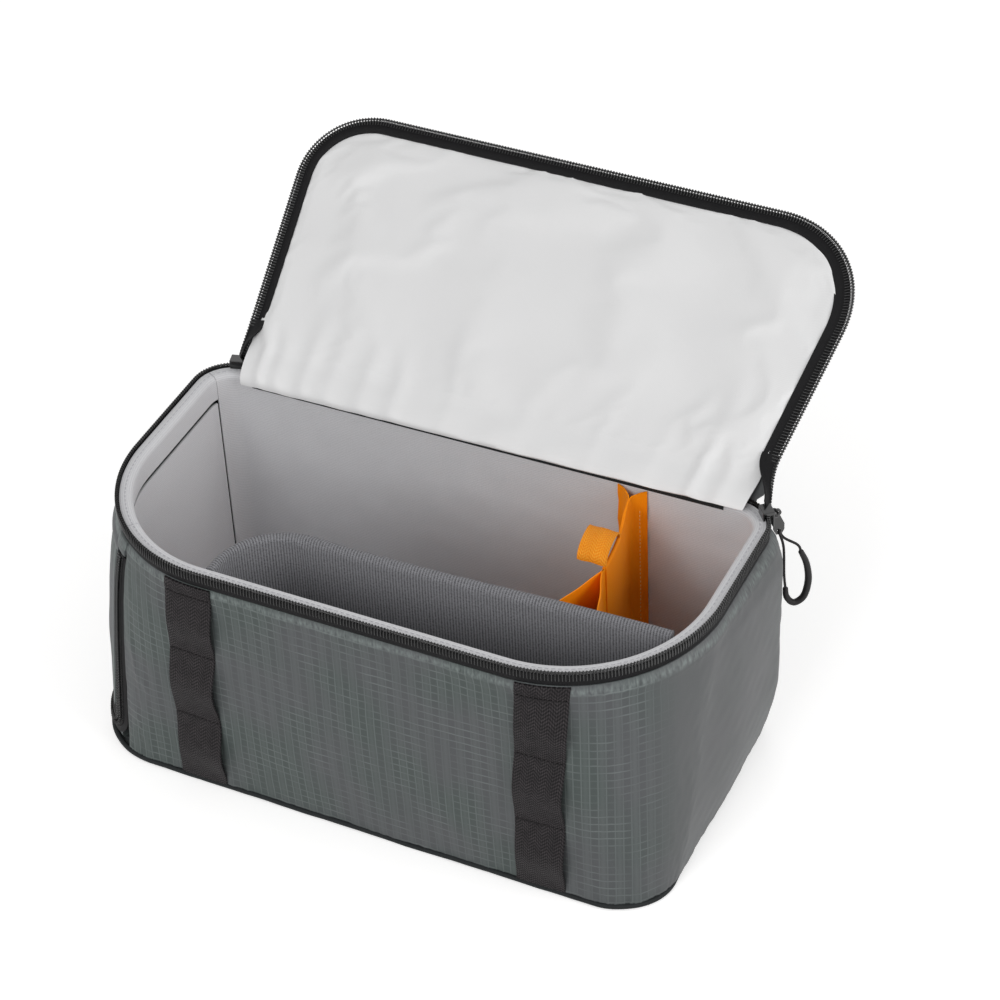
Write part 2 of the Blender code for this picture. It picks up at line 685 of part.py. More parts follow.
def lid(parts, ink):
    """The lid, built closed about its hinge axis and then turned open."""
    axis = axis_empty("lid_axis", parts, (0, HINGE_Y, LID_PLANE_Z), (-LID_OPEN, 0, 0))
    lead = LID_TAPE_START_ANGLE / math.radians(90)
    marks = stations(lead, 7 - lead)
    low = -SKIN / 2
    high = SKIN / 2
    outer = [[lid_point(u, LID_TAPE_OUTER, z) for u in marks] for z in (low, high)]
    inner = [[lid_point(u, LID_TAPE_INNER, z) for u in marks] for z in (low, high)]
    slab("lid_zip_tape", outer, inner, parts, ink["black"], axis)
    start = LID_COIL_START_ANGLE / math.radians(90)
    line = [lid_point(u, COIL_INSET, 0) for u in stations(start, 7 - start)]
    bead("lid_zip_coil", line, COIL_RADIUS, parts, ink["coil"], axis)

    marks = stations(7 - lead + GAP / RIM_BACK_RADIUS, 8 + lead - GAP / RIM_BACK_RADIUS)
    outer = [[lid_point(u, LID_TAPE_OUTER, z) for u in marks] for z in (low, high)]
    inner = [[lid_point(u, LID_TAPE_INNER, z) for u in marks] for z in (low, high)]
    slab("lid_hinge_strip", outer, inner, parts, ink["shell"], axis)

    marks = stations(0, 8)[:-1]
    middle = Vector((0, -LID_DEPTH / 2, 0))

    def ring(share, z):
        edge = [lid_point(u, LID_PANEL_INSET, 0) for u in marks]
        return [middle + (p - middle) * share + Vector((0, 0, z)) for p in edge]

    def crown(share):
        return LID_CROWN * (1 - share ** 2)

    shares = (1.0, 0.93, 0.75, 0.4)
    cushion("lid_lining", ring, lambda s: LID_LINING_LOW, lambda s: LID_LINING_HIGH, (1.0, 0.5),
            parts, ink["satin"], axis)
    cushion("lid_foam", ring, lambda s: LID_FOAM_LOW, lambda s: LID_FOAM_HIGH + crown(s), shares,
            parts, ink["foam"], axis)
    cushion("lid_skin", ring, lambda s: LID_SKIN_LOW + crown(s), lambda s: LID_SKIN_HIGH + crown(s),
            shares, parts, ink["shell"], axis)


def door_path(offset):
    """The U of the door's zip as (distance along the wall, height), moved out by offset."""
    half = DOOR_HALF_WIDTH + offset
    bottom = DOOR_ZIP_BOTTOM - offset
    radius = DOOR_CORNER_RADIUS + offset
    run = [(half, z) for z in levels(DOOR_TOP, bottom + radius, WALL_LEVELS)]
    for step in range(1, DOOR_TURN_STEPS + 1):
        angle = math.radians(90) * step / DOOR_TURN_STEPS
        run.append((half - radius + radius * math.cos(angle), bottom + radius - radius * math.sin(angle)))
    side = len(run)
    for step in range(1, DOOR_ACROSS_STEPS):
        run.append(((half - radius) * (1 - 2 * step / DOOR_ACROSS_STEPS), bottom))
    return run + [(-along, z) for along, z in run[:side]][::-1]


def door_row(offset, inset, origin):
    """The door's zip line moved out by offset, as points about an origin."""
    return [wall_point(door_station(along, z), z, inset) - origin for along, z in door_path(offset)]


def door_grid(edge):
    """Places over the door inside its zip line by edge, as (distance along the wall, height)."""
    half = DOOR_HALF_WIDTH - edge
    bottom = DOOR_ZIP_BOTTOM + edge
    radius = max(DOOR_CORNER_RADIUS - edge, GAP)
    turns = [math.radians(90) * step / PAD_TURN_STEPS for step in range(PAD_TURN_STEPS)]
    corner = [half - radius + radius * math.cos(angle) for angle in turns]
    marks = [step / PAD_ACROSS_STEPS for step in range(PAD_ACROSS_STEPS + 1)]
    middle = [(half - radius) * (1 - 2 * share) for share in marks]
    places = []
    for level in levels(0, 1, WALL_LEVELS - 1):
        row = []
        for along in [-a for a in corner] + middle[::-1] + corner[::-1]:
            beyond = max(abs(along) - (half - radius), 0)
            low = bottom + radius - math.sqrt(max(radius ** 2 - beyond ** 2, 0))
            row.append((along, low + (DOOR_TOP - low) * level))
        places.append(row)
    return places


def door_layer(surface, edge, inset, crown, origin):
    """A grid of points over the door, swelling out by crown in its middle, about an origin."""
    half = DOOR_HALF_WIDTH - edge
    rows = []
    for places in door_grid(edge):
        row = []
        for along, z in places:
            upward = (z - DOOR_ZIP_BOTTOM - edge) / (DOOR_TOP - DOOR_ZIP_BOTTOM - edge)
            rise = max(math.sin(math.pi * upward), 0) ** DOOR_UP_POWER
            swell = crown * (1 - (along / half) ** DOOR_ACROSS_POWER) * rise
            row.append(surface(door_station(along, z), z, inset - swell) - origin)
        rows.append(row)
    return rows


def door(parts, ink):
    """The zipped door in the left end, hinged along its top, with its frame-side zip."""
    hinge = Vector((-HALF_LENGTH + COIL_INSET, 0, DOOR_HINGE_Z))
    axis = axis_empty("door_axis", parts, hinge)
    edge = DOOR_TAPE_WIDTH + GAP
    slab("door_skin", door_layer(wall_point, edge, 0, DOOR_CROWN, hinge),
         door_layer(wall_point, edge, SKIN, DOOR_CROWN, hinge), parts, ink["shell"], axis)
    slab("door_foam", door_layer(wall_point, DOOR_CLEARANCE, FOAM_OUTER, 0, hinge),
         door_layer(inner_point, DOOR_CLEARANCE, FOAM_DEPTH, 0, hinge), parts, ink["foam"], axis)
    slab("door_lining", door_layer(inner_point, DOOR_CLEARANCE, LINING_OUTER, 0, hinge),
         door_layer(inner_point, DOOR_CLEARANCE, LINING_INNER, 0, hinge), parts, ink["lining"], axis)

    near = GAP / 2 + GAP
    rows = [door_row(-offset, 0, hinge) for offset in (DOOR_TAPE_WIDTH, DOOR_TAPE_WIDTH / 2, near)]
    sheet("door_zip_tape", rows, SKIN, parts, ink["black"], axis)
    bead("door_zip_coil", door_row(-DOOR_COIL_OFFSET, DOOR_COIL_INSET, hinge), DOOR_COIL_RADIUS,
         parts, ink["coil"], axis)
    origin = Vector((0, 0, 0))
    rows = [door_row(offset, 0, origin) for offset in (near, FRAME_TAPE_WIDTH / 2, FRAME_TAPE_WIDTH)]
    sheet("frame_zip_tape", rows, SKIN, parts, ink["black"])
    line = door_row(DOOR_COIL_OFFSET, DOOR_COIL_INSET, origin)
    line.append(line[-1] + Vector((0, 0, DOOR_SLIDER_Z + SLIDER_LENGTH / 2 - DOOR_TOP)))
    bead("frame_zip_coil", line, DOOR_COIL_RADIUS, parts, ink["coil"])

    low = wall_point(1, DOOR_HINGE_Z, COIL_INSET)
    high = wall_point(2, DOOR_HINGE_Z, COIL_INSET)
    bead("door_hinge_seam", [low, high], HINGE_BEAD_RADIUS, parts, ink["shell"])

    shares = (-0.5, -0.25, 0, 0.25, 0.5)
    heights = (DOOR_HINGE_Z, DOOR_HINGE_Z + GARAGE_HEIGHT)
    rows = [[wall_point(door_station(DOOR_HALF_WIDTH + GARAGE_WIDTH * share, z), z, -GAP)
             for share in shares] for z in heights]
    sheet("zip_garage", rows, GARAGE_THICKNESS, parts, ink["shell"], outward=True)


def front_station(x, z):
    """The station at which the front wall lies at x, at height z."""
    radii = corner_radii(z)
    left = radii[1] - HALF_LENGTH
    right = HALF_LENGTH - radii[2]
    quarter = math.radians(90)
    if x < left:
        return 2 + math.acos((left - x) / radii[1]) / quarter
    if x > right:
        return 4 + math.asin((x - right) / radii[2]) / quarter
    return 3 + (x - left) / (right - left)


def webbing_bar(name, x, parts, ink):
    """A bar of webbing sewn down the front in three loops that lie nearly flat."""
    stitches = [SKIN_BOTTOM + GAP, HEIGHT * LOW_STITCH_SHARE, HEIGHT * HIGH_STITCH_SHARE,
                SKIN_TOP - GAP]
    rows = []
    for low, high in zip(stitches, stitches[1:]):
        for step in range(WEBBING_STEPS):
            share = step / WEBBING_STEPS
            rows.append((low + (high - low) * share, math.sin(math.pi * share) ** 2))
    rows.append((stitches[-1], 0))
    columns = [x + WEBBING_WIDTH * share for share in (-0.5, 0, 0.5)]
    surface = [[wall_point(front_station(across, z), z, -GAP - WEBBING_LIFT * lift) for across in columns]
               for z, lift in rows]
    sheet(name, surface, WEBBING_THICKNESS, parts, ink["webbing"], outward=True)


def right_tab_face():
    """How far right the divider's right tab can lie and still lift out past the rounded rim."""
    radius = RIM_FRONT_RIGHT_RADIUS - LINING_INNER
    rise = RIM_FRONT_Y + RIM_FRONT_RIGHT_RADIUS - DIVIDER_END_Y + DIVIDER_THICKNESS / 2
    inside = HALF_LENGTH - RIM_FRONT_RIGHT_RADIUS + math.sqrt(radius ** 2 - rise ** 2)
    return inside - BOARD_CLEARANCE


def divider_path():
    """The long divider's middle line: out of the front wall, round a bend, and along to the right end."""
    front = RIM_FRONT_Y + LINING_INNER + TAB_THICKNESS + GAP * 2
    right = right_tab_face() - TAB_THICKNESS - GAP
    centre = Vector((DIVIDER_START_X + DIVIDER_BEND_RADIUS, DIVIDER_BEND_Y, 0))
    run = [Vector((DIVIDER_START_X, front, 0))]
    for step in range(BEND_STEPS + 1):
        angle = math.radians(180 - 90 * step / BEND_STEPS)
        run.append(centre + DIVIDER_BEND_RADIUS * Vector((math.cos(angle), math.sin(angle), 0)))
    start = run[-1].copy()
    end = Vector((right, DIVIDER_END_Y, 0))
    for share in DIVIDER_RUN_SHARES:
        point = start.lerp(end, share)
        smooth = share * share * (3 - 2 * share)
        point.y = start.y + (end.y - start.y) * smooth
        run.append(point)
    return run


def long_divider(parts, ink):
    """The padded long divider with a rounded top edge, and its two hook tabs."""
    path = divider_path()
    half = DIVIDER_THICKNESS / 2
    profile = [(half, DIVIDER_BOTTOM)]
    for step in range(TOP_STEPS + 1):
        angle = math.radians(180 * step / TOP_STEPS)
        profile.append((half * math.cos(angle), DIVIDER_TOP - half + half * math.sin(angle)))
    profile.append((-half, DIVIDER_BOTTOM))
    rows = []
    for index, point in enumerate(path):
        before = path[max(index - 1, 0)]
        after = path[min(index + 1, len(path) - 1)]
        along = (after - before).normalized()
        if index == 0:
            along = Vector((0, 1, 0))
        if index == len(path) - 1:
            along = Vector((1, 0, 0))
        side = Vector((along.y, -along.x, 0))
        rows.append([point + side * across + Vector((0, 0, z)) for across, z in profile])
    points = [p for row in rows for p in row]
    columns = len(profile)
    faces = grid_faces(len(rows), columns, True, flip=True)
    faces.append(tuple(range(columns)))
    faces.append(tuple(range((len(rows) - 1) * columns, len(rows) * columns))[::-1])
    made = mesh_object("long_divider", points, faces, parts, ink["charcoal"])
    made.data.shade_smooth()

    y = RIM_FRONT_Y + LINING_INNER + GAP
    left = DIVIDER_START_X - half
    box("long_divider_left_tab", (left, y, TAB_LOW),
        (left + TAB_LENGTH, y + TAB_THICKNESS, TAB_HIGH), parts, ink["charcoal"])
    x = right_tab_face()
    low = DIVIDER_END_Y - half
    box("long_divider_right_tab", (x - TAB_THICKNESS, low, TAB_LOW), (x, low + TAB_LENGTH, TAB_HIGH),
        parts, ink["charcoal"])


def box(name, low, high, collection, finish, parent=None):
    """A rectangular piece between two corners, from Blender's own cube."""
    mesh = bpy.data.meshes.new(name)
    shape = bmesh.new()
    bmesh.ops.create_cube(shape, size=1)
    for vertex in shape.verts:
        for axis in range(3):
            share = vertex.co[axis] + 0.5
            vertex.co[axis] = low[axis] + (high[axis] - low[axis]) * share
    shape.to_mesh(mesh)
    shape.free()
    return link(bpy.data.objects.new(name, mesh), collection, finish, parent)


def fork(name, root, split, foot_y, spread, foot, parts, ink, rise=0.0):
    """A forked end of the cross divider: one web that splits into two flaps with hook feet."""
    toward = 1 if foot_y > root.y else -1
    half = FORK_THICKNESS / 2
    wide = FORK_THICKNESS * toward
    inner = foot_y - wide
    left = split.x - spread
    right = split.x + spread
    outline = [
        (root.x - half, root.y),
        (split.x - half, split.y),
        (left + foot / 2, inner),
        (left, inner),
        (left, foot_y),
        (left + foot, foot_y),
        (split.x, split.y + wide + wide),
        (right - foot, foot_y),
        (right, foot_y),
        (right, inner),
        (right - foot / 2, inner),
        (split.x + half, split.y),
        (root.x + half, root.y),
    ]
    if toward > 0:
        outline.reverse()
    count = len(outline)
    points = [(x, y, FORK_LOW) for x, y in outline]
    points += [(x, y, CROSS_TOP + rise * (y - root.y) / (foot_y - root.y)) for x, y in outline]
    faces = [list(reversed(range(count))), list(range(count, 2 * count))]
    for index in range(count):
        after = (index + 1) % count
        faces.append((index, after, count + after, count + index))
    mesh_object(name, points, faces, parts, ink["orange"])


def cross_divider(parts, ink):
    """The thin cross divider, its forked ends and its webbing pull loop."""
    front = Vector((CROSS_X + CROSS_LEAN, CROSS_FRONT_Y, 0))
    back = Vector((CROSS_X - CROSS_LEAN, CROSS_BACK_Y, 0))
    half = CROSS_THICKNESS / 2
    outline = [(front.x - half, front.y), (front.x + half, front.y), (back.x + half, back.y),
               (back.x - half, back.y)]
    plate("cross_divider", [outline], DIVIDER_BOTTOM, CROSS_TOP, parts, ink["orange"])
    back_wall = BACK_Y - LINING_INNER - GAP
    split = Vector((back.x - BACK_FORK_LEAN, back_wall - BACK_FORK_SPLIT, 0))
    fork("cross_divider_back_fork", back + Vector((0, GAP, 0)), split, back_wall, BACK_FORK_SPREAD,
         BACK_FORK_FOOT, parts, ink, BACK_FORK_RISE)
    divider_face = DIVIDER_END_Y + DIVIDER_THICKNESS / 2 + GAP
    split = front - Vector((0, FRONT_FORK_ROOT, 0))
    fork("cross_divider_front_fork", front - Vector((0, GAP, 0)), split, divider_face,
         FRONT_FORK_SPREAD, FRONT_FORK_FOOT, parts, ink)

    rows = []
    for step in range(LOOP_STEPS + 1):
        angle = math.pi * step / LOOP_STEPS
        share = (1 - math.cos(angle)) / 2
        middle = front.lerp(back, share)
        rise = CROSS_TOP + GAP + PULL_LOOP_RISE * math.sin(angle)
        edges = [PULL_LOOP_WIDTH * across - PULL_LOOP_SHIFT for across in (-0.5, 0.5)]
        rows.append([middle + Vector((edge, 0, rise)) for edge in edges])
    sheet("cross_divider_pull_loop", rows, PULL_LOOP_THICKNESS, parts, ink["orange"], outward=True)


def profile_solid(name, outline, half_width, collection, finish, parent, upright=False):
    """An outline in x and z, extruded both ways along y, or in x and y extruded along z."""
    mesh = bpy.data.meshes.new(name)
    shape = bmesh.new()
    if upright:
        lower = [shape.verts.new((x, y, -half_width)) for x, y in outline]
        offset = Vector((0, 0, 2 * half_width))
    else:
        lower = [shape.verts.new((x, -half_width, z)) for x, z in outline]
        offset = Vector((0, 2 * half_width, 0))
    face = shape.faces.new(lower)
    grown = bmesh.ops.extrude_face_region(shape, geom=[face])
    moved = [item for item in grown["geom"] if isinstance(item, bmesh.types.BMVert)]
    bmesh.ops.translate(shape, verts=moved, vec=offset)
    bmesh.ops.recalc_face_normals(shape, faces=shape.faces)
    shape.to_mesh(mesh)
    shape.free()
    return link(bpy.data.objects.new(name, mesh), collection, finish, parent)


def bridge(name, face_x, z, cutters, parent):
    """The slider's bridge as a mesh that a Boolean joins to the slider: a wire with square shoulders."""
    out = face_x + BRIDGE_STANDOFF
    start = face_x - BRIDGE_SINK
    span = BRIDGE_HALF_SPAN
    bend = BRIDGE_RADIUS
    knots = [(start, -span), (out - bend, -span), (out, -span + bend), (out, span - bend),
             (out - bend, span), (start, span)]
    wire = bead(name, [(x, y, z) for x, y in knots], BRIDGE_RADIUS, cutters, None, parent)
    bpy.context.view_layer.update()
    graph = bpy.context.evaluated_depsgraph_get()
    mesh = bpy.data.meshes.new_from_object(wire.evaluated_get(graph))
    shape = bmesh.new()
    shape.from_mesh(mesh)
    bmesh.ops.remove_doubles(shape, verts=shape.verts, dist=GAP / 10)
    bmesh.ops.recalc_face_normals(shape, faces=shape.faces)
    shape.to_mesh(mesh)
    shape.free()
    solid = bpy.data.objects.new(name + "_solid", mesh)
    cutters.objects.link(solid)
    solid.parent = parent
    solid.hide_render = True
    solid.display_type = 'WIRE'
    bpy.data.objects.remove(wire, do_unlink=True)
    return solid


def finish_slider(made, joined):
    """Soften a slider's edges and join its bridge."""
    soften = made.modifiers.new("edges", 'BEVEL')
    soften.width = SLIDER_BEVEL
    soften.segments = 2
    soften.limit_method = 'ANGLE'
    union = made.modifiers.new("bridge", 'BOOLEAN')
    union.operation = 'UNION'
    union.solver = 'EXACT'
    union.object = joined


def pull(prefix, axis, parts, ink):
    """A pull about its bridge: x is outward and z is up. A tab, a cord through it and a hooked grip."""
    eye = [(TAB_EYE_RADIUS * math.cos(math.radians(a)), TAB_EYE_RADIUS * math.sin(math.radians(a)))
           for a in range(-50, 231, 20)]
    half = PULL_TAB_WIDTH / 2
    shift = half - TAB_EYE_RADIUS + GAP
    low = TAB_EYE_RADIUS - PULL_TAB_LENGTH
    outline = eye + [(shift - half, -PULL_TAB_NECK), (shift - half, low + half), (shift - half / 2, low),
                     (shift + half / 2, low), (shift + half, low + half), (shift + half, -PULL_TAB_NECK)]
    holes = []
    hole_z = low + CORD_BORE + PULL_TAB_THICKNESS
    for x, z, radius in ((0, 0, TAB_EYE_BORE), (shift, hole_z, CORD_BORE)):
        holes.append([(x + radius * math.cos(math.radians(a)), z + radius * math.sin(math.radians(a)))
                      for a in range(0, 360, 36)])
    thickness = PULL_TAB_THICKNESS / 2
    tab = plate(prefix + "_pull_tab", [outline] + holes, -thickness, thickness, parts, ink["metal"], axis)
    tab.rotation_euler = (math.radians(90), 0, 0)

    down = hole_z - TAB_EYE_RADIUS
    grip_knots = [Vector((GRIP_REACH * out, 0, -GRIP_HANG * fall)) for out, fall in GRIP_PATH_SHARES]
    grip = bead(prefix + "_pull_grip", smooth_run(grip_knots, 3), GRIP_RADIUS, parts, ink["rubber"], axis)
    spots = grip.data.splines[0].points
    for index, spot in enumerate(spots):
        spot.radius = GRIP_THIN_SHARE + GRIP_SWELL_SHARE * math.sin(math.pi * index / (len(spots) - 1))
    start_lead = (grip_knots[0] - grip_knots[1]).normalized()
    end_lead = (grip_knots[-1] - grip_knots[-2]).normalized()
    side = Vector((0, CORD_SIDE, 0))
    cord_knots = [grip_knots[0] + start_lead * GAP,
                  grip_knots[0] + start_lead * CORD_LEAD + side / 3,
                  Vector((shift + CORD_LEAD, 0, down - CORD_DROP)) + side,
                  Vector((shift + GAP * 2, 0, hole_z - CORD_BORE)) + side,
                  Vector((shift, 0, hole_z - GAP)) + side * 3 / 4,
                  Vector((shift, 0, hole_z + GAP)),
                  Vector((shift, 0, hole_z - GAP)) - side * 3 / 4,
                  Vector((shift, 0, hole_z - CORD_BORE)) - side,
                  Vector((shift + CORD_STANDOFF, 0, down - CORD_TAIL)) - side,
                  grip_knots[-1] + end_lead * CORD_TAIL - side * 2 / 3,
                  grip_knots[-1] + end_lead * GAP]
    bead(prefix + "_pull_cord", smooth_run(cord_knots, 2), CORD_RADIUS, parts, ink["cord"], axis)


def rim_slider(prefix, centre_x, turn, parts, cutters, ink):
    """A rim slider that straddles the coil; it turns about the centre of a back corner."""
    corner = (centre_x, BACK_Y - RIM_BACK_RADIUS, RIM_COIL_Z)
    axis = axis_empty(prefix + "_slider_axis", parts, corner, (0, 0, turn))
    outer = SLIDER_SLOT + SLIDER_WALL
    top = SLIDER_SLOT + SLIDER_CROWN
    outline = [(-outer, -SLIDER_INNER_LEG), (-SLIDER_SLOT, -SLIDER_INNER_LEG), (-SLIDER_SLOT, SLIDER_SLOT),
               (SLIDER_SLOT, SLIDER_SLOT), (SLIDER_SLOT, -SLIDER_OUTER_LEG), (outer, -SLIDER_OUTER_LEG),
               (outer, top), (-outer, top)]
    made = profile_solid(prefix + "_slider", outline, SLIDER_LENGTH / 2, parts, ink["metal"], axis)
    made.location.x = RIM_BACK_RADIUS - COIL_INSET
    wire = bridge(prefix + "_bridge", outer, 0, cutters, axis)
    wire.location.x = RIM_BACK_RADIUS - COIL_INSET
    finish_slider(made, wire)
    pull_axis = axis_empty(prefix + "_pull_axis", parts,
                           (RIM_BACK_RADIUS - COIL_INSET + outer + BRIDGE_STANDOFF, 0, 0), parent=axis)
    pull(prefix, pull_axis, parts, ink)


def door_slider(parts, cutters, ink):
    """The door's slider, parked above the door on the back run of its zip."""
    prefix = "door"
    point = wall_point(left_station(-DOOR_HALF_WIDTH), DOOR_SLIDER_Z, 0)
    corner = Vector((-HALF_LENGTH + RIM_BACK_RADIUS, BACK_Y - RIM_BACK_RADIUS, 0))
    turn = math.atan2(point.y - corner.y, point.x - corner.x)
    axis = axis_empty("door_slider_axis", parts, point, (0, 0, turn))
    inside = DOOR_COIL_OFFSET + DOOR_COIL_RADIUS + GAP
    outside = inside + SLIDER_WALL
    floor = GAP
    roof = 2 * DOOR_COIL_RADIUS + 3 * GAP
    top = roof + DOOR_SLIDER_ROOF
    outline = [(floor, -outside), (top, -outside), (top, outside), (floor, outside), (floor, inside),
               (roof, inside), (roof, -inside), (floor, -inside)]
    made = profile_solid("door_slider", outline, SLIDER_LENGTH / 2, parts, ink["metal"], axis, True)
    wire = bridge("door_bridge", top, 0, cutters, axis)
    finish_slider(made, wire)
    pull_axis = axis_empty("door_pull_axis", parts, (top + BRIDGE_STANDOFF, 0, 0), parent=axis)
    pull(prefix, pull_axis, parts, ink)


def clear_scene():
    """Remove whatever the startup scene holds."""
    for old in list(bpy.data.objects):
        bpy.data.objects.remove(old, do_unlink=True)


def build():
    """Every piece, in one collection, with the joined shapes' helpers in another."""
    parts = bpy.data.collections.new("camera_bag_insert")
    cutters = bpy.data.collections.new("cutters")
    bpy.context.scene.collection.children.link(parts)
    bpy.context.scene.collection.children.link(cutters)
    ink = {
        "shell": material("grey_green_ripstop", 0.125, 0.147, 0.150, 0.55),
        "lining": material("brushed_grey_lining", 0.47, 0.47, 0.48, 0.9),
        "satin": material("pale_grey_satin", 0.64, 0.64, 0.65, 0.45),
        "foam": material("pale_foam", 0.55, 0.55, 0.55, 0.95),
        "black": material("black_zip_tape", 0.018, 0.017, 0.018, 0.7),
        "coil": material("black_zip_coil", 0.012, 0.012, 0.013, 0.4),
        "webbing": material("dark_webbing", 0.026, 0.023, 0.024, 0.65),
        "charcoal": material("charcoal_heather", 0.105, 0.105, 0.115, 0.9),
        "orange": material("orange_cloth", 0.92, 0.24, 0.008, 0.7),
        "metal": material("black_gloss_metal", 0.01, 0.01, 0.01, 0.25, 0.6),
        "cord": material("black_cord", 0.02, 0.02, 0.02, 0.7),
        "rubber": material("black_rubber", 0.03, 0.03, 0.03, 0.6),
    }
    base(parts, ink)
    walls(parts, ink)
    rim(parts, ink)
    lid(parts, ink)
    door(parts, ink)
    webbing_bar("left_webbing_bar", LEFT_WEBBING_X, parts, ink)
    webbing_bar("right_webbing_bar", RIGHT_WEBBING_X, parts, ink)
    long_divider(parts, ink)
    cross_divider(parts, ink)
    corner_x = HALF_LENGTH - RIM_BACK_RADIUS
    rim_slider("left", -corner_x, math.radians(90) + LEFT_SLIDER_ANGLE, parts, cutters, ink)
    rim_slider("right", corner_x, math.radians(90) - RIGHT_SLIDER_ANGLE, parts, cutters, ink)
    door_slider(parts, cutters, ink)


clear_scene()
build()
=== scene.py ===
# %% [markdown]
# # A padded camera bag insert
# The real object is a soft box: padded walls of ripstop cloth, a lid that a zip holds all round,
# a zipped door in one end, and two dividers that lift out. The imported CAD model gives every
# piece its place and its motion. This script dresses it, one piece or finish to a cell.

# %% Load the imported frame
import json

import bpy
import numpy as np
from mathutils import Matrix


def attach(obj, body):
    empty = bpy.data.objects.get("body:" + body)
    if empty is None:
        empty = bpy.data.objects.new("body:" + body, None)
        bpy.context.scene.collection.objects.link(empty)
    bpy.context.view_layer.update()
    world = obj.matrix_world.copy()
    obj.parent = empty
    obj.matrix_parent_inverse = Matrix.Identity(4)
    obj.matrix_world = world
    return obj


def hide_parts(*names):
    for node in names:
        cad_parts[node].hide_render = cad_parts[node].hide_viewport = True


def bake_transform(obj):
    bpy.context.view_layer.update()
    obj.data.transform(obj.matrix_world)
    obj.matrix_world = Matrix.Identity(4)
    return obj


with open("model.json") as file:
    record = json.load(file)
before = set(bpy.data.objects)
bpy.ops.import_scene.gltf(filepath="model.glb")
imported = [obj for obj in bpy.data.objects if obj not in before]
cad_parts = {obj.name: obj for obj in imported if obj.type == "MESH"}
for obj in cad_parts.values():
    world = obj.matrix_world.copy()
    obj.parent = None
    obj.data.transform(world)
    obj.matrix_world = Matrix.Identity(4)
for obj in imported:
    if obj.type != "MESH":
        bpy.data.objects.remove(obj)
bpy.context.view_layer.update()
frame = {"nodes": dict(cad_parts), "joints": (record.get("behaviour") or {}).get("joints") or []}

# %% [markdown]
# ## Camera
# The photograph was taken with a long lens, from the front and a little above the right corner.
# The angle, the distance and the lens were solved from the insert's known corners, so they are
# written as numbers: two angles and a roll about a point in the middle of the object.

# %% Camera
def placed(name, data, right, up, back, place):
    """An object in the scene with its x, y and z axes along right, up and back."""
    matrix = np.eye(4)
    matrix[:3] = np.column_stack([right, up, back, place])
    made = bpy.data.objects.new(name, data)
    made.matrix_world = Matrix(matrix.tolist())
    bpy.context.scene.collection.objects.link(made)
    return made


def add_camera(azimuth, elevation, roll, distance, target, lens, shift):
    """A camera that looks at the target, with back = (sin a cos e, -cos a cos e, sin e) towards it.

    The roll turns the camera's right and up directions about the view line.
    """
    back = np.array([np.sin(azimuth) * np.cos(elevation), -np.cos(azimuth) * np.cos(elevation),
                     np.sin(elevation)])
    right = np.array([np.cos(azimuth), np.sin(azimuth), 0.0])
    up = np.cross(back, right)
    made = placed("camera", bpy.data.cameras.new("camera"), np.cos(roll) * right + np.sin(roll) * up,
                  np.cos(roll) * up - np.sin(roll) * right, back, np.array(target) + back * distance)
    made.data.lens = lens
    made.data.sensor_width = 36
    made.data.shift_x, made.data.shift_y = shift
    bpy.context.scene.camera = made
    return made


camera = add_camera(0.467567, 0.697641, -0.0459847, 1.7958, (0.032075, 0.058289, 0.140770),
                    111.325, (-0.01558, -0.00173))
print("camera at", [round(x, 3) for x in camera.matrix_world.translation])

# %% [markdown]
# ## Floor and light
# A product photograph on white has soft light from all round and a floor that burns out to
# white but keeps a faint shadow. The floor here is pale and also glows a little for the camera
# alone, so that it reaches white where it is lit and stays grey in the shadow.

# %% Node helpers
def feed(tree, socket, value):
    """Links a socket into an input, or sets the input to a number, a vector or a colour."""
    if isinstance(value, bpy.types.NodeSocket):
        tree.links.new(value, socket)
    else:
        socket.default_value = value


def put(tree, kind, **settings):
    """Adds a shader node. i and a number, or a first capital, name an input; other names are settings."""
    made = tree.nodes.new(kind)
    for name, value in settings.items():
        if name[0] == "i" and name[1:].isdigit():
            feed(tree, made.inputs[int(name[1:])], value)
        elif name[0].isupper():
            feed(tree, made.inputs[name.replace("_", " ")], value)
        else:
            setattr(made, name, value)
    return made


def calc(tree, operation, *values):
    """The result of a Math node on sockets or numbers."""
    made = put(tree, "ShaderNodeMath", operation=operation)
    for socket, value in zip(made.inputs, values):
        feed(tree, socket, value)
    return made.outputs[0]


# %% Floor, world and lamps
def seen_directly(tree):
    """1 for rays that show the background itself: camera, glossy and transmission rays."""
    path = tree.nodes.new("ShaderNodeLightPath")
    direct = calc(tree, "ADD", path.outputs["Is Camera Ray"], path.outputs["Is Glossy Ray"])
    return calc(tree, "MINIMUM", calc(tree, "ADD", direct, path.outputs["Is Transmission Ray"]), 1.0)


def add_floor(size, glow):
    """A square floor at z = 0: white diffuse, plus a glow that only direct rays see."""
    half = size / 2
    mesh = bpy.data.meshes.new("floor")
    mesh.from_pydata([(-half, -half, 0), (half, -half, 0), (half, half, 0), (-half, half, 0)], [],
                     [(0, 1, 2, 3)])
    made = bpy.data.objects.new("floor", mesh)
    bpy.context.scene.collection.objects.link(made)
    paint = bpy.data.materials.new("studio_floor")
    paint.use_nodes = True
    tree = paint.node_tree
    tree.nodes.clear()
    matt = put(tree, "ShaderNodeBsdfDiffuse", Color=(0.86, 0.855, 0.85, 1))
    strength = calc(tree, "MULTIPLY", seen_directly(tree), glow)
    shine = put(tree, "ShaderNodeEmission", Color=(1, 1, 1, 1), Strength=strength)
    both = put(tree, "ShaderNodeAddShader", i0=matt.outputs[0], i1=shine.outputs[0])
    put(tree, "ShaderNodeOutputMaterial", Surface=both.outputs[0])
    mesh.materials.append(paint)


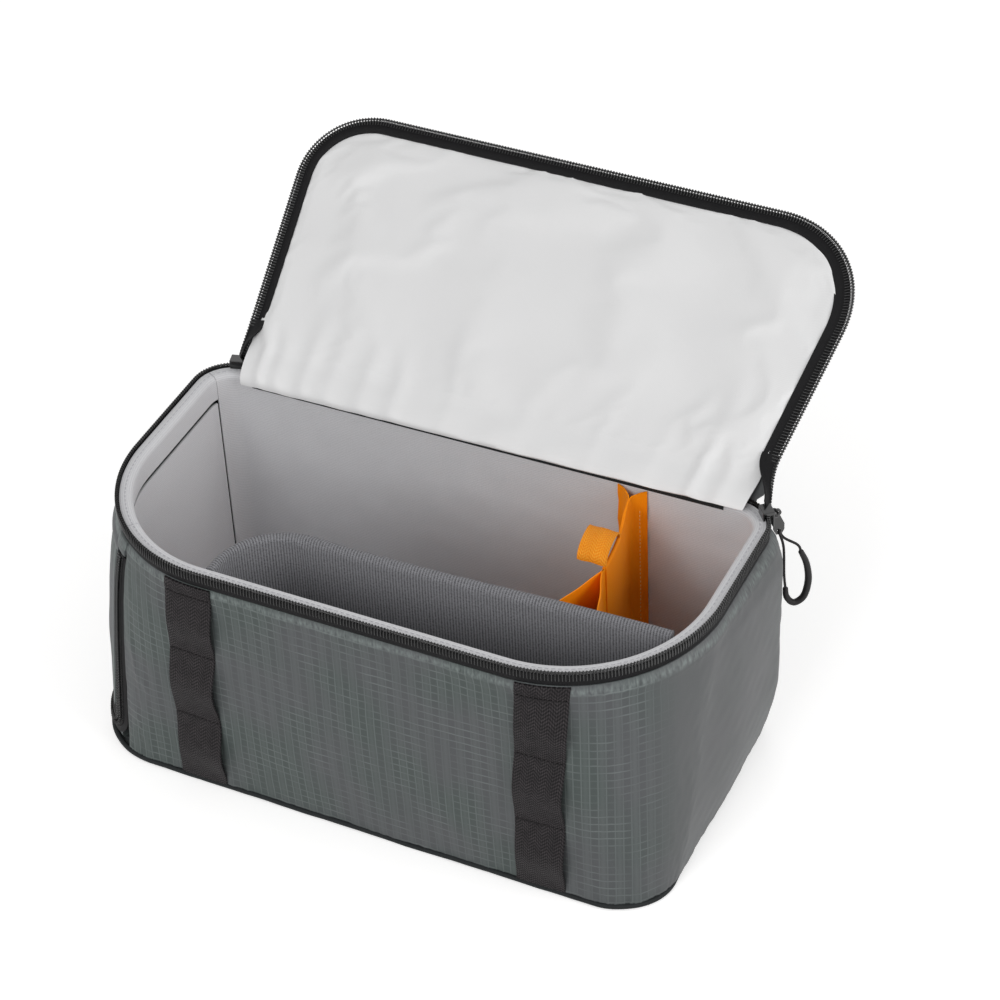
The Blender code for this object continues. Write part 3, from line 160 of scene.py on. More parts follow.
def set_world(light, seen):
    """An even pale surround that lights with one strength and shows itself with another."""
    world = bpy.data.worlds.new("studio")
    world.use_nodes = True
    tree = world.node_tree
    tree.nodes.clear()
    extra = calc(tree, "MULTIPLY", seen_directly(tree), seen - light)
    strength = calc(tree, "ADD", extra, light)
    shade = put(tree, "ShaderNodeBackground", Color=(1, 1, 1, 1), Strength=strength)
    put(tree, "ShaderNodeOutputWorld", Surface=shade.outputs[0])
    bpy.context.scene.world = world


def add_lamp(name, place, target, size, power):
    """A square soft lamp that faces the target."""
    lamp = bpy.data.lights.new(name, "AREA")
    lamp.shape = "SQUARE"
    lamp.size = size
    lamp.energy = power
    back = np.array(place, float) - np.array(target, float)
    back /= np.linalg.norm(back)
    right = np.cross([0, 0, 1], back)
    right /= np.linalg.norm(right)
    placed(name, lamp, right, np.cross(back, right), back, place)


FLOOR_SIZE, FLOOR_GLOW, WORLD_LIGHT, WORLD_SEEN = 6.0, 0.46, 0.50, 1.0
add_floor(FLOOR_SIZE, FLOOR_GLOW)
set_world(WORLD_LIGHT, WORLD_SEEN)
add_lamp("end_lamp", (1.8, -0.1, 0.9), (0, 0, 0.1), 1.2, 14)
add_lamp("front_lamp", (-0.2, -1.6, 1.15), (0, 0, 0.12), 1.0, 12)
add_lamp("back_lamp", (-0.9, 1.7, 0.5), (0, 0, 0.1), 1.0, 6)
bpy.context.scene.view_settings.view_transform = "Standard"

# %% [markdown]
# ## The insert's own sizes
# The CAD source built the walls from one rounded outline whose corners grow from the base to
# the rim. Repeating those few numbers and that formula lets every cloth piece here lie exactly
# on the solids that it replaces.

# %% Sizes in metres
HALF_LENGTH, BACK_Y, HEIGHT = 0.185, 0.090, 0.160
RIM_FRONT_Y, BASE_FRONT_Y = -0.090, -0.0975
RIM_RADII = (0.024, 0.088, 0.092, 0.024)
BASE_RADII = (0.024, 0.046, 0.036, 0.028)
SKIN_BOTTOM, SKIN_TOP, WALL_TOP = 0.0039, 0.1497, 0.1544
FOAM_OUTER, FOAM_DEPTH = 0.0018, 0.0083
LINING_OUTER, LINING_INNER = 0.0086, 0.0096
FLOOR_BOTTOM, FLOOR_TOP = 0.0068, 0.0078
TAPE_LOW, TAPE_HIGH, COIL_Z = 0.1500, 0.1573, 0.1588
DOOR_HALF, DOOR_TOP, STRIP_BOTTOM, ZIP_BOTTOM = 0.077, 0.1385, 0.1415, 0.0115
QUARTER = np.pi / 2


# %% The outline, the wall and its inside
def outline(u, half_length, front, back, radii, inset):
    """Points and outward normals of a rounded rectangle, for arrays of stations u from 0 to 8.

    Even legs are corners: centre + (radius - inset) (cos t, sin t), with t = 90 deg (1 + corner + share).
    Odd legs are straight: the point moves from one corner's end to the next one's start.
    """
    u, front, inset = np.broadcast_arrays(np.mod(u, 8.0), front, inset)
    radii = [np.broadcast_to(r, u.shape) for r in radii]
    leg = np.minimum(np.floor(u), 7).astype(int)
    share = u - leg
    corner = leg // 2
    angle = QUARTER * (1 + corner + np.where(leg % 2 == 0, share, 1.0))
    normal = np.stack([np.cos(angle), np.sin(angle), np.zeros_like(angle)], -1)
    centre_x = [radii[0] - half_length, radii[1] - half_length, half_length - radii[2],
                half_length - radii[3]]
    centre_y = [back - radii[0], front + radii[1], front + radii[2], back - radii[3]]

    def end_of(which):
        reach = np.choose(which, radii) - inset
        return np.stack([np.choose(which, centre_x) + normal[..., 0] * reach,
                         np.choose(which, centre_y) + normal[..., 1] * reach, np.zeros_like(reach)], -1)

    run = np.where(leg % 2 == 1, share, 0.0)[..., None]
    return end_of(corner) * (1 - run) + end_of((corner + 1) % 4) * run, normal


def share_up(z):
    """How far up the soft wall a height lies, from 0 to 1."""
    return np.clip(np.asarray(z, float) / SKIN_TOP, 0, 1)


def corner_radii(z):
    """The corner radii at a height: a straight growth, and a last quarter that comes with share^6."""
    share = share_up(z)
    share = share * (0.75 + 0.25 * share ** 6)
    return [base + (rim - base) * share for base, rim in zip(BASE_RADII, RIM_RADII)]


def wall_front(z):
    """How far forward the front stands at a height."""
    return BASE_FRONT_Y + (RIM_FRONT_Y - BASE_FRONT_Y) * share_up(z)


def eased(share):
    """s^2 (3 - 2 s) for a share kept within 0 and 1."""
    share = np.clip(share, 0, 1)
    return share * share * (3 - 2 * share)


def end_belly(u, z):
    """The right end rolls out under the tape: 8.5 mm times an ease in and out along u and up z."""
    share = np.clip((z - SKIN_BOTTOM) / (SKIN_TOP - SKIN_BOTTOM), 0, 1)
    low = np.sin(QUARTER * np.minimum(share / 0.36, 1))
    top = np.sin(QUARTER * np.minimum((1 - share) / 0.12, 1))
    return 0.0085 * eased((u - 4.2) / 1.9) * eased((6.95 - u) / 0.85) * low * top


def wall(u, z, inset=0.0):
    """The soft outer wall: the outline at that height, plus a swell of each side's own size.

    swell = size (1 - across^2)^1.5 sin(pi share)^0.8, with across from -1 to 1 along the side.
    """
    u, z, inset = np.broadcast_arrays(np.asarray(u, float), z, inset)
    place, normal = outline(u, HALF_LENGTH, wall_front(z), BACK_Y, corner_radii(z), inset)
    size = np.choose(np.floor(np.mod(u, 8)).astype(int), [0, 0, 0, 0.0045, 0, 0.0020, 0, 0.0020])
    across = 2 * np.mod(u, 1) - 1
    upward = np.maximum(np.sin(np.pi * share_up(z)), 0) ** 0.8
    swell = size * (1 - across ** 2) ** 1.5 * upward + end_belly(np.mod(u, 8), z)
    place = place + normal * swell[..., None]
    place[..., 2] = z
    return place


def inner_wall(u, z, inset):
    """The inner wall: straight sides, and corners that follow the outside."""
    u, z, inset = np.broadcast_arrays(np.asarray(u, float), z, inset)
    place, _ = outline(u, HALF_LENGTH, RIM_FRONT_Y, BACK_Y, corner_radii(z), inset)
    place[..., 2] = z
    return place


def left_station(along, z):
    """The station at a distance along the wall from the middle of the left end, plus to the front."""
    along, z = np.broadcast_arrays(np.asarray(along, float), z)
    radius = corner_radii(z)[1]
    front_run = -wall_front(z) - radius
    back_run = BACK_Y - RIM_RADII[0]
    middle = 1 + (along + back_run) / (front_run + back_run)
    front = 2 + (along - front_run) / (radius * QUARTER)
    back = 1 + (along + back_run) / (RIM_RADII[0] * QUARTER)
    return np.where(along > front_run, front, np.where(along < -back_run, back, middle))


def door_station(along, z):
    """The same, but the door's front half flares out towards the base."""
    along, z = np.broadcast_arrays(np.asarray(along, float), z)
    flare = 0.020 * along / DOOR_HALF * (1 - share_up(z))
    return left_station(along + np.where(along > 0, flare, 0), z)


def row_stations(marks, edge, z):
    """Marks of the rim as a grid of rows, drawn together towards the door's front edge lower down."""
    marks, z = np.broadcast_arrays(marks, np.asarray(z, float)[:, None])
    corner = 3.0 if marks[0, 0] > 2 else 2.0
    scale = (door_station(edge, z) - corner) / (door_station(edge, HEIGHT) - corner)
    return np.where((marks > 2) & (marks < 3), corner + (marks - corner) * scale, marks)


# %% [markdown]
# ## From numbers to a mesh
# A piece is a grid of points that numpy works out whole, and the mesh is filled from arrays.
# Cloth has two grids, an outer and an inner one, joined round the edge, so that every piece is
# a closed body. Each gets a UV map in metres, which the woven patterns follow.

# %% Mesh helpers
def fill_mesh(name, points, faces, uvs, sharp=35):
    """A mesh from points (n, 3), a list of face arrays (f, k) and their UVs (f, k, 2), facing outwards.

    The sign of the volume, the sum of a . (b x c) / 6 over the triangles, tells if it is inside out.
    """
    volume = 0.0
    for group in faces:
        for k in range(1, group.shape[1] - 1):
            a, b, c = points[group[:, 0]], points[group[:, k]], points[group[:, k + 1]]
            volume += np.einsum("ij,ij->", a - points[0], np.cross(b - points[0], c - points[0])) / 6
    if volume < 0:
        faces = [group[:, ::-1] for group in faces]
        uvs = [group[:, ::-1] for group in uvs]
    sizes = np.concatenate([np.full(len(group), group.shape[1]) for group in faces])
    loops = np.concatenate([group.reshape(-1) for group in faces])
    mesh = bpy.data.meshes.new(name)
    mesh.vertices.add(len(points))
    mesh.vertices.foreach_set("co", points.astype(np.float32).reshape(-1))
    mesh.loops.add(len(loops))
    mesh.loops.foreach_set("vertex_index", loops.astype(np.int32))
    mesh.polygons.add(len(sizes))
    mesh.polygons.foreach_set("loop_start", (np.cumsum(sizes) - sizes).astype(np.int32))
    mesh.update(calc_edges=True)
    layer = mesh.uv_layers.new(name="cloth")
    flat = np.concatenate([group.reshape(-1, 2) for group in uvs])
    layer.data.foreach_set("uv", flat.astype(np.float32).reshape(-1))
    mesh.polygons.foreach_set("use_smooth", np.ones(len(sizes), bool))
    mesh.set_sharp_from_angle(angle=np.radians(sharp))
    mesh.validate()
    made = bpy.data.objects.new(name, mesh)
    bpy.context.scene.collection.objects.link(made)
    return made


def grid_uv(along, up):
    """UVs of a grid from the lengths along and up it, which may be one row and one column."""
    return np.stack(np.broadcast_arrays(along, up), -1)


def grid_quads(values, wrap=False):
    """The four corners of every quad of a grid, counterclockwise: (r, c), (r, c+1), (r+1, c+1), (r+1, c)."""
    following = np.roll(values, -1, axis=1) if wrap else values[:, 1:]
    here = values if wrap else values[:, :-1]
    shape = (-1, 4) + values.shape[2:]
    return np.stack([here[:-1], following[:-1], following[1:], here[1:]], 2).reshape(shape)


def thick_cloth(name, outer, inner, uv, wrap=False, capped=False, sharp=35):
    """A closed body between two grids (rows, columns, 3) with UVs (rows, columns, 2).

    Strips of quads join the two grids round the open edges. With capped, the last row of a wrapped
    grid is closed by one face on either side instead, as in the middle of a round pad.
    """
    rows, columns = outer.shape[:2]
    count = rows * columns
    index = np.arange(count).reshape(rows, columns)
    points = np.concatenate([outer.reshape(-1, 3), inner.reshape(-1, 3)])
    flat = np.tile(uv.reshape(-1, 2), (2, 1))
    quads = grid_quads(index, wrap)
    following = np.roll(index, -1, axis=1) if wrap else index[:, 1:]
    here = index if wrap else index[:, :-1]
    faces = [quads, quads[:, ::-1] + count,
             np.stack([following[0], here[0], here[0] + count, following[0] + count], -1)]
    if capped:
        faces += [index[-1][None], index[-1][None, ::-1] + count]
    else:
        faces.append(np.stack([here[-1], following[-1], following[-1] + count, here[-1] + count], -1))
    if not wrap:
        low, high = index[:-1], index[1:]
        faces.append(np.stack([low[:, 0], high[:, 0], high[:, 0] + count, low[:, 0] + count], -1))
        faces.append(np.stack([high[:, -1], low[:, -1], low[:, -1] + count, high[:, -1] + count], -1))
    return fill_mesh(name, points, faces, [flat[group] for group in faces], sharp)


def lengths_along(path):
    """The distance run at each point of a path."""
    steps = np.linalg.norm(np.diff(path, axis=0), axis=1)
    return np.concatenate([[0.0], np.cumsum(steps)])


def respaced(path, spacing):
    """The path again at an even spacing: x, y, z, and any more columns that go with them."""
    run = lengths_along(path[:, :3])
    count = max(int(round(run[-1] / spacing)), 2)
    marks = np.linspace(0, run[-1], count + 1)
    return np.stack([np.interp(marks, run, path[:, k]) for k in range(path.shape[1])], -1)


def unit(vectors):
    """Vectors of length one."""
    return vectors / np.maximum(np.linalg.norm(vectors, axis=-1, keepdims=True), 1e-12)


def tube(name, path, radius, sides, guide, closed=False, sharp=60):
    """A round cord along a path: path + radius (cos a side + sin a over), side = tangent x guide."""
    tangent = unit(np.roll(path, -1, 0) - np.roll(path, 1, 0)) if closed else unit(np.gradient(path, axis=0))
    side = unit(np.cross(tangent, np.broadcast_to(guide, path.shape)))
    over = np.cross(side, tangent)
    radius = np.broadcast_to(radius, (len(path),))
    angle = 2 * np.pi * np.arange(sides) / sides
    ring = np.cos(angle)[:, None] * side[:, None] + np.sin(angle)[:, None] * over[:, None]
    points = path[:, None] + ring * radius[:, None, None]
    run = lengths_along(path)
    index = np.arange(len(path) * sides).reshape(-1, sides)
    around = radius.mean() * 2 * np.pi
    uv = grid_uv(run[:, None], around * np.arange(sides + 1) / sides)
    rows = np.concatenate([index, index[:1]]) if closed else index
    uv_rows = np.concatenate([uv, uv[-1:] + [spacing_of(path), 0]]) if closed else uv
    faces, uvs = [grid_quads(rows, True)], [grid_quads(uv_rows)]
    if not closed:
        for ring_index in (index[0][None, ::-1], index[-1][None]):
            faces.append(ring_index)
            uvs.append(np.zeros(ring_index.shape + (2,)))
    return fill_mesh(name, points.reshape(-1, 3), faces, uvs, sharp)


def spacing_of(path):
    """The gap between the last and the first point of a closed path."""
    return float(np.linalg.norm(path[-1] - path[0]))


def repeated(name, shape, faces, places, along, across, over, sharp=50):
    """One small shape at many places: place + x along + y across + z over, for the shape's (x, y, z)."""
    axes = np.stack([along, across, over], 1)
    points = places[:, None] + np.einsum("kc,ncd->nkd", shape, axes)
    shift = len(shape) * np.arange(len(places))
    groups = [(group[None] + shift[:, None, None]).reshape(-1, group.shape[1]) for group in faces]
    uvs = [np.zeros(group.shape + (2,)) for group in groups]
    return fill_mesh(name, points.reshape(-1, 3), groups, uvs, sharp)


def wire_piece(centres, radius, sides=6, width=1.0):
    """A short bent wire in the across-over plane, as points and faces for repeated()."""
    line = np.column_stack([np.zeros(len(centres)), np.array(centres, float)])
    tangent = unit(np.gradient(line, axis=0))
    over = np.cross(tangent, [1.0, 0, 0])
    angle = 2 * np.pi * (np.arange(sides) + 0.5) / sides
    radius = np.broadcast_to(radius, (len(line),))[:, None, None]
    ring = (np.cos(angle)[None, :, None] * np.array([width, 0, 0])
            + np.sin(angle)[None, :, None] * over[:, None])
    points = (line[:, None] + ring * radius).reshape(-1, 3)
    index = np.arange(len(points)).reshape(-1, sides)
    return points, [grid_quads(index, True), index[:1, ::-1], index[-1:]]


# %% Dressing a piece
def dress(piece, finish, body, slot, *nodes):
    """Gives a piece its finish and its body, and hides the CAD nodes that it stands for.

    A body given as a tuple (first, second, start, end) only has the piece's transform baked; the piece is
    attached to neither body.
    """
    piece.data.materials.append(finish)
    if isinstance(body, tuple):
        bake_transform(piece)
    else:
        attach(piece, body)
    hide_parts(*nodes)
    print(piece.name, len(piece.data.polygons), "faces on", body)
    return piece

# %% [markdown]
# ## Finishes
# Ripstop is a thin nylon cloth with thicker threads every five millimetres, which show as a
# paler grid and stand a little proud. It could be an image, but a pattern worked out from the
# UV map stays sharp at any distance. Each thread family is a triangle wave: the distance to the
# nearest thread, which a Map Range turns into a thin line.

# %% Pattern helpers
def new_finish(name, colour, roughness, **inputs):
    """A Principled material, its node tree and its shader; constants go straight onto its sockets."""
    made = bpy.data.materials.new(name)
    made.use_nodes = True
    shader = made.node_tree.nodes["Principled BSDF"]
    shader.inputs["Base Color"].default_value = (*colour, 1)
    shader.inputs["Roughness"].default_value = roughness
    for key, value in inputs.items():
        shader.inputs[key.replace("_", " ")].default_value = value
    return made, made.node_tree, shader


def cloth_map(tree):
    """The UV map's two lengths, along and up, as sockets."""
    place = tree.nodes.new("ShaderNodeTexCoord").outputs["UV"]
    split = put(tree, "ShaderNodeSeparateXYZ", Vector=place)
    return place, split.outputs["X"], split.outputs["Y"]


def ramp(tree, value, low, high, first=0.0, last=1.0):
    """A Map Range: first where the value is at low, last where it is at high, straight in between."""
    made = put(tree, "ShaderNodeMapRange", Value=value, i1=low, i2=high, i3=first, i4=last)
    return made.outputs[0]


def threads(tree, length, pitch, width):
    """Thin lines every pitch: 1 on a line and 0 half a width away, from the distance to the nearest."""
    away = calc(tree, "PINGPONG", calc(tree, "ADD", length, pitch * 1000), pitch / 2)
    return ramp(tree, away, width * 0.25, width * 0.75, 1.0, 0.0)


def wave(tree, length, pitch, shift=0.0):
    """A smooth wave from 0 to 1 with that pitch."""
    turn = calc(tree, "MULTIPLY_ADD", length, 2 * np.pi / pitch, shift)
    return calc(tree, "MULTIPLY_ADD", calc(tree, "SINE", turn), 0.5, 0.5)


def mottle(tree, place, size, detail=2.0):
    """Soft noise from 0 to 1 with features of about that size."""
    return put(tree, "ShaderNodeTexNoise", Vector=place, Scale=1 / size, Detail=detail).outputs["Fac"]


def blend_colours(tree, share, first, second):
    """The mix of two colours by a share."""
    made = put(tree, "ShaderNodeMix", data_type="RGBA")
    for index, value in ((0, share), (6, first), (7, second)):
        feed(tree, made.inputs[index], (*value, 1) if isinstance(value, tuple) else value)
    return made.outputs[2]


def raise_by(tree, shader, height, depth, strength=1.0):
    """Bump: the height, from 0 to 1, stands for that depth in metres."""
    made = put(tree, "ShaderNodeBump", Height=height, Distance=depth, Strength=strength)
    tree.links.new(made.outputs["Normal"], shader.inputs["Normal"])


def colour_by(tree, shader, share, first, second):
    """The shader's colour: the mix of two colours by a share."""
    tree.links.new(blend_colours(tree, share, first, second), shader.inputs["Base Color"])


def srgb(text):
    """A colour written as six hex digits, in linear light."""
    value = np.array([int(text[k:k + 2], 16) / 255 for k in (0, 2, 4)])
    linear = np.where(value <= 0.04045, value / 12.92, ((value + 0.055) / 1.055) ** 2.4)
    return tuple(float(x) for x in linear)


# %% Ripstop
def make_ripstop(name, base, deep, thread, roughness):
    """Grey-green nylon: a thin paler grid that fades in and out, and painted highlights on the gathers under
    the rim.

    The UV map runs from the front's middle. The grid is left out from 175 to 420 mm along, round the
    right end, where the photograph shows plain smooth cloth.
    """
    made, tree, shader = new_finish(name, base, roughness, Specular_IOR_Level=0.25)
    place, along, up = cloth_map(tree)
    slow, patch = mottle(tree, place, 0.060, 1.0), mottle(tree, place, 0.022, 1.0)
    green = ramp(tree, slow, 0.40, 0.60)
    patchy = ramp(tree, patch, 0.38, 0.64, 0.25, 1.0)
    start = ramp(tree, along, 0.172, 0.198, 1.0, 0.0)
    stop = ramp(tree, along, 0.400, 0.420)
    woven = calc(tree, "MAXIMUM", start, stop)
    level = calc(tree, "MULTIPLY", threads(tree, up, 0.0050, 0.0007), patchy)
    upright = calc(tree, "MULTIPLY", threads(tree, along, 0.0046, 0.0007),
                   calc(tree, "MULTIPLY_ADD", green, 0.45, 0.35))
    strong = calc(tree, "MULTIPLY", calc(tree, "POWER", wave(tree, along, 0.0092), 3.0), 0.30)
    grid = calc(tree, "MAXIMUM", level, calc(tree, "MAXIMUM", upright, strong))
    tone = blend_colours(tree, green, base, deep)
    drawn = calc(tree, "MULTIPLY", calc(tree, "MULTIPLY", grid, woven), 0.42)
    tone = blend_colours(tree, drawn, tone, thread)
    # Round the right end, where the grid is left out, the tone turns a plain, paler neutral grey.
    smooth = calc(tree, "SUBTRACT", 1.0, woven)
    tone = blend_colours(tree, calc(tree, "MULTIPLY", smooth, 0.8), tone, srgb("5f6061"))
    # Painted highlight: in a thin band just under the rim tape, the tone is lifted towards the thread colour
    # in short streaks. This stands for light caught on the crests of the gathered pleats.
    streak = put(tree, "ShaderNodeCombineXYZ", X=along, Y=calc(tree, "MULTIPLY", up, 0.4))
    gathers = mottle(tree, streak.outputs[0], 0.0016, 1.0)
    away = calc(tree, "ABSOLUTE", calc(tree, "ADD", up, -0.1468))
    seam = ramp(tree, away, 0.0006, 0.0030, 1.0, 0.0)
    pale = calc(tree, "MULTIPLY", seam, calc(tree, "MULTIPLY_ADD", gathers, 2.2, -0.65))
    pale = calc(tree, "MULTIPLY", calc(tree, "MAXIMUM", pale, 0.0), 0.75)
    tone = blend_colours(tree, pale, tone, thread)
    weave = calc(tree, "MULTIPLY", wave(tree, along, 0.00062), wave(tree, up, 0.00062, 1.6))
    fine = calc(tree, "MULTIPLY", mottle(tree, place, 0.0011, 1.0), 0.28)
    colour_by(tree, shader, fine, tone, tuple(c * 0.7 for c in base))
    height = calc(tree, "MULTIPLY_ADD", grid, 0.8, calc(tree, "MULTIPLY", weave, 0.5))
    raise_by(tree, shader, height, 0.00006, 0.5)
    return made


ripstop = make_ripstop("ripstop_nylon", srgb("525456"), srgb("48504e"), srgb("88918f"), 0.50)
print("made", ripstop.name)

# %% [markdown]
# ## Brushed lining, satin and heather
# The inside is brushed so that hook tabs hold to it: a matt pile over fine ribs. The lid is
# lined with a smoother satin. The long divider is the same brushed cloth in a charcoal melange,
# knitted in upright ribs.

# %% Linings and heather
def make_lining(name, base, shade, roughness, rib, depth, fuzz, level=False, contrast=0.75):
    """Brushed knit: ribs of one pitch, upright or level, broken up by noise, with a matt sheen."""
    made, tree, shader = new_finish(name, base, roughness, Sheen_Weight=fuzz, Sheen_Roughness=0.6,
                                     Specular_IOR_Level=0.2)
    place, along, up = cloth_map(tree)
    along, up = (up, along) if level else (along, up)
    ribs = wave(tree, along, rib)
    rows = wave(tree, calc(tree, "ADD", up, calc(tree, "MULTIPLY", ribs, rib * 0.3)), rib * 0.6)
    pile = mottle(tree, place, rib * 0.7)
    pattern = calc(tree, "MULTIPLY_ADD", rows, 0.35, calc(tree, "MULTIPLY", ribs, 0.65))
    height = calc(tree, "MULTIPLY_ADD", pile, 0.7, calc(tree, "MULTIPLY", pattern, 0.6))
    share = calc(tree, "MULTIPLY_ADD", height, -contrast, 0.45 + 0.55 * contrast)
    colour_by(tree, shader, share, base, shade)
    raise_by(tree, shader, height, depth, 0.8)
    return made


def make_satin(name, base, shade):
    """Smooth satin: a fine slanting twill and a soft gloss."""
    made, tree, shader = new_finish(name, base, 0.42, Sheen_Weight=0.1)
    place, along, up = cloth_map(tree)
    twill = wave(tree, calc(tree, "ADD", along, calc(tree, "MULTIPLY", up, 0.6)), 0.0011)
    slow = mottle(tree, place, 0.05)
    share = calc(tree, "MULTIPLY_ADD", slow, 0.35, calc(tree, "MULTIPLY", twill, 0.16))
    colour_by(tree, shader, share, base, shade)
    raise_by(tree, shader, twill, 0.00004, 0.5)
    return made


lining = make_lining("brushed_lining", srgb("e2e2e4"), srgb("b2b2b6"), 0.92, 0.0013, 0.00020, 0.25,
                     level=True)
heather = make_lining("charcoal_heather", srgb("8e8e92"), srgb("1c1c1f"), 0.95, 0.0018, 0.00050, 0.1,
                      contrast=1.5)
satin = make_satin("pale_satin", srgb("ebebeb"), srgb("dfdfe0"))
print("made", lining.name, heather.name, satin.name)

# %% [markdown]
# ## Tape, webbing, orange cloth
# Zip tape is woven in narrow ribs along its length. Webbing is heavier, with a herringbone: two
# slanting waves that change direction every few millimetres. The orange divider is a plain
# coated cloth.

# %% Tape, webbing, orange
def make_tape(name, base, light):
    """Zip tape: ribs every 0.7 mm along the tape and short slanting threads across them."""
    made, tree, shader = new_finish(name, base, 0.62, Specular_IOR_Level=0.15)
    place, along, up = cloth_map(tree)
    lean = wave(tree, up, 0.0022)
    slant = calc(tree, "MULTIPLY_ADD", lean, 0.0008, along)
    twill = wave(tree, slant, 0.0009)
    ribs = wave(tree, up, 0.0007)
    height = calc(tree, "MULTIPLY_ADD", ribs, 0.4, calc(tree, "MULTIPLY", twill, 0.6))
    share = calc(tree, "MULTIPLY", height, calc(tree, "MULTIPLY_ADD", mottle(tree, place, 0.004), 0.6, 0.2))
    colour_by(tree, shader, share, base, light)
    raise_by(tree, shader, height, 0.00018, 0.8)
    return made


def make_webbing(name, base, light):
    """Webbing: a herringbone whose threads slant one way and then the other, every 3.8 mm across."""
    made, tree, shader = new_finish(name, base, 0.55, Specular_IOR_Level=0.15)
    place, along, up = cloth_map(tree)
    zigzag = calc(tree, "PINGPONG", calc(tree, "ADD", along, 4.0), 0.0038)
    slanted = calc(tree, "MULTIPLY_ADD", zigzag, 0.9, up)
    twill = wave(tree, slanted, 0.0021)
    cords = wave(tree, along, 0.00125)
    height = calc(tree, "MULTIPLY_ADD", cords, 0.5, calc(tree, "MULTIPLY", twill, 0.7))
    # The raised threads are drawn paler in patches: partly the weave's own pattern, and partly a painted
    # sheen on the thread tops.
    patchy = calc(tree, "MULTIPLY_ADD", mottle(tree, place, 0.006), 0.9, 0.15)
    share = calc(tree, "MULTIPLY", calc(tree, "POWER", height, 1.6), patchy)
    colour_by(tree, shader, share, base, light)
    raise_by(tree, shader, height, 0.00035, 0.9)
    return made


def make_orange(name, base, shade):
    """Orange cloth: a plain weave with a slight coating."""
    made, tree, shader = new_finish(name, base, 0.6, Specular_IOR_Level=0.2)
    place, along, up = cloth_map(tree)
    weave = calc(tree, "MULTIPLY", wave(tree, along, 0.0009), wave(tree, up, 0.0009, 1.6))
    slow = mottle(tree, place, 0.02)
    share = calc(tree, "MULTIPLY_ADD", slow, 0.5, calc(tree, "MULTIPLY", weave, 0.25))
    colour_by(tree, shader, share, base, shade)
    raise_by(tree, shader, weave, 0.00012, 0.7)
    return made


zip_tape = make_tape("black_zip_tape", srgb("0b0b0c"), srgb("242325"))
webbing = make_webbing("dark_webbing", srgb("080708"), srgb("454042"))
orange = make_orange("orange_cloth", srgb("ff9708"), srgb("fb7f02"))
print("made", zip_tape.name, webbing.name, orange.name)

# %% [markdown]
# ## Nylon, metal, cord and rubber
# The coil is bare nylon wire and shines a little. The sliders are black enamelled metal, with a
# clear coat. Cord is a fine braid, two spirals that cross, read from the cord's own UV map. The
# grip is moulded rubber with a very fine grain, and thread is plain matt polyester.

# %% Hard and small finishes
def make_grained(name, base, roughness, size, depth, **inputs):
    """A moulded or enamelled finish: one colour with a fine grain in tone, gloss and relief."""
    made, tree, shader = new_finish(name, base, roughness, **inputs)
    place = tree.nodes.new("ShaderNodeTexCoord").outputs["Object"]
    grain = mottle(tree, place, size, 3.0)
    lighter = tuple(min(c * 1.35 + 0.002, 1) for c in base)
    colour_by(tree, shader, calc(tree, "MULTIPLY", grain, 0.6), base, lighter)
    tree.links.new(calc(tree, "MULTIPLY_ADD", grain, 0.12, roughness - 0.06), shader.inputs["Roughness"])
    raise_by(tree, shader, grain, depth, 0.5)
    return made


def make_braid(name, base, light, pitch, around):
    """Braided cord: two sets of threads that wind in opposite directions."""
    made, tree, shader = new_finish(name, base, 0.6, Specular_IOR_Level=0.2)
    _, along, turn = cloth_map(tree)
    one = wave(tree, calc(tree, "MULTIPLY_ADD", turn, pitch / around, along), pitch)
    two = wave(tree, calc(tree, "MULTIPLY_ADD", turn, -pitch / around, along), pitch)
    height = calc(tree, "MAXIMUM", one, two)
    colour_by(tree, shader, height, base, light)
    raise_by(tree, shader, height, 0.00012, 0.8)
    return made


coil_nylon = make_grained("black_coil_nylon", srgb("0d0d0e"), 0.26, 0.0008, 0.00002,
                          Specular_IOR_Level=0.6)
enamel = make_grained("black_enamel", srgb("0c0c0d"), 0.22, 0.0006, 0.00001, Coat_Weight=0.6,
                      Coat_Roughness=0.12)
rubber = make_grained("soft_rubber", srgb("1d1b1c"), 0.5, 0.0005, 0.00003, Specular_IOR_Level=0.25)
thread_dark = make_grained("black_thread", srgb("1a1819"), 0.7, 0.0003, 0.00003, Specular_IOR_Level=0.2)
thread_pale = make_grained("pale_thread", srgb("b2b2b6"), 0.8, 0.0003, 0.00003)
thread_orange = make_grained("orange_thread", srgb("ffc27a"), 0.7, 0.0003, 0.00003)
piping_cloth = make_tape("dark_piping", srgb("1f2122"), srgb("3a3e3f"))
cord_braid = make_braid("black_braid", srgb("0f0e0f"), srgb("262425"), 0.0012, 0.0050)
print("made", enamel.name, rubber.name, cord_braid.name)

# %% [markdown]
# ## The padded walls
# The walls are ripstop over foam over lining. Where the cloth is sewn under the zip tape it
# gathers: small pleats, and a soft roll below them that grows towards the right end. Both are
# heights over the wall, added along its normal: the pleats are sharpened sine waves that fade
# downward, the roll is a bell curve, and a few long creases are bell curves along a line.

# %% Relief of the cloth
def ripples(along, up, size, seed, count=7):
    """Slow random waves, the mean of a few sines with seeded directions and pitches near the size."""
    random = np.random.default_rng(seed)
    total = 0.0
    for _ in range(count):
        turn, pitch = random.uniform(0, np.pi), size * random.uniform(0.7, 1.6)
        reach = along * np.cos(turn) + up * np.sin(turn)
        total = total + np.sin(2 * np.pi * reach / pitch + random.uniform(0, 2 * np.pi))
    return total / np.sqrt(count)


def pleats(along, seed):
    """Small gathers: two sharpened waves, 5.6 and 8.3 mm long, that drift along."""
    drift = 0.0030 * ripples(along, 0 * along, 0.045, seed, 4)
    first = np.sin(2 * np.pi * (along + drift) / 0.0056)
    second = np.sin(2 * np.pi * (along - drift) / 0.0083 + 1.0)
    return np.maximum(first, 0) ** 1.5 * 0.65 + np.maximum(second, 0) ** 1.5 * 0.5


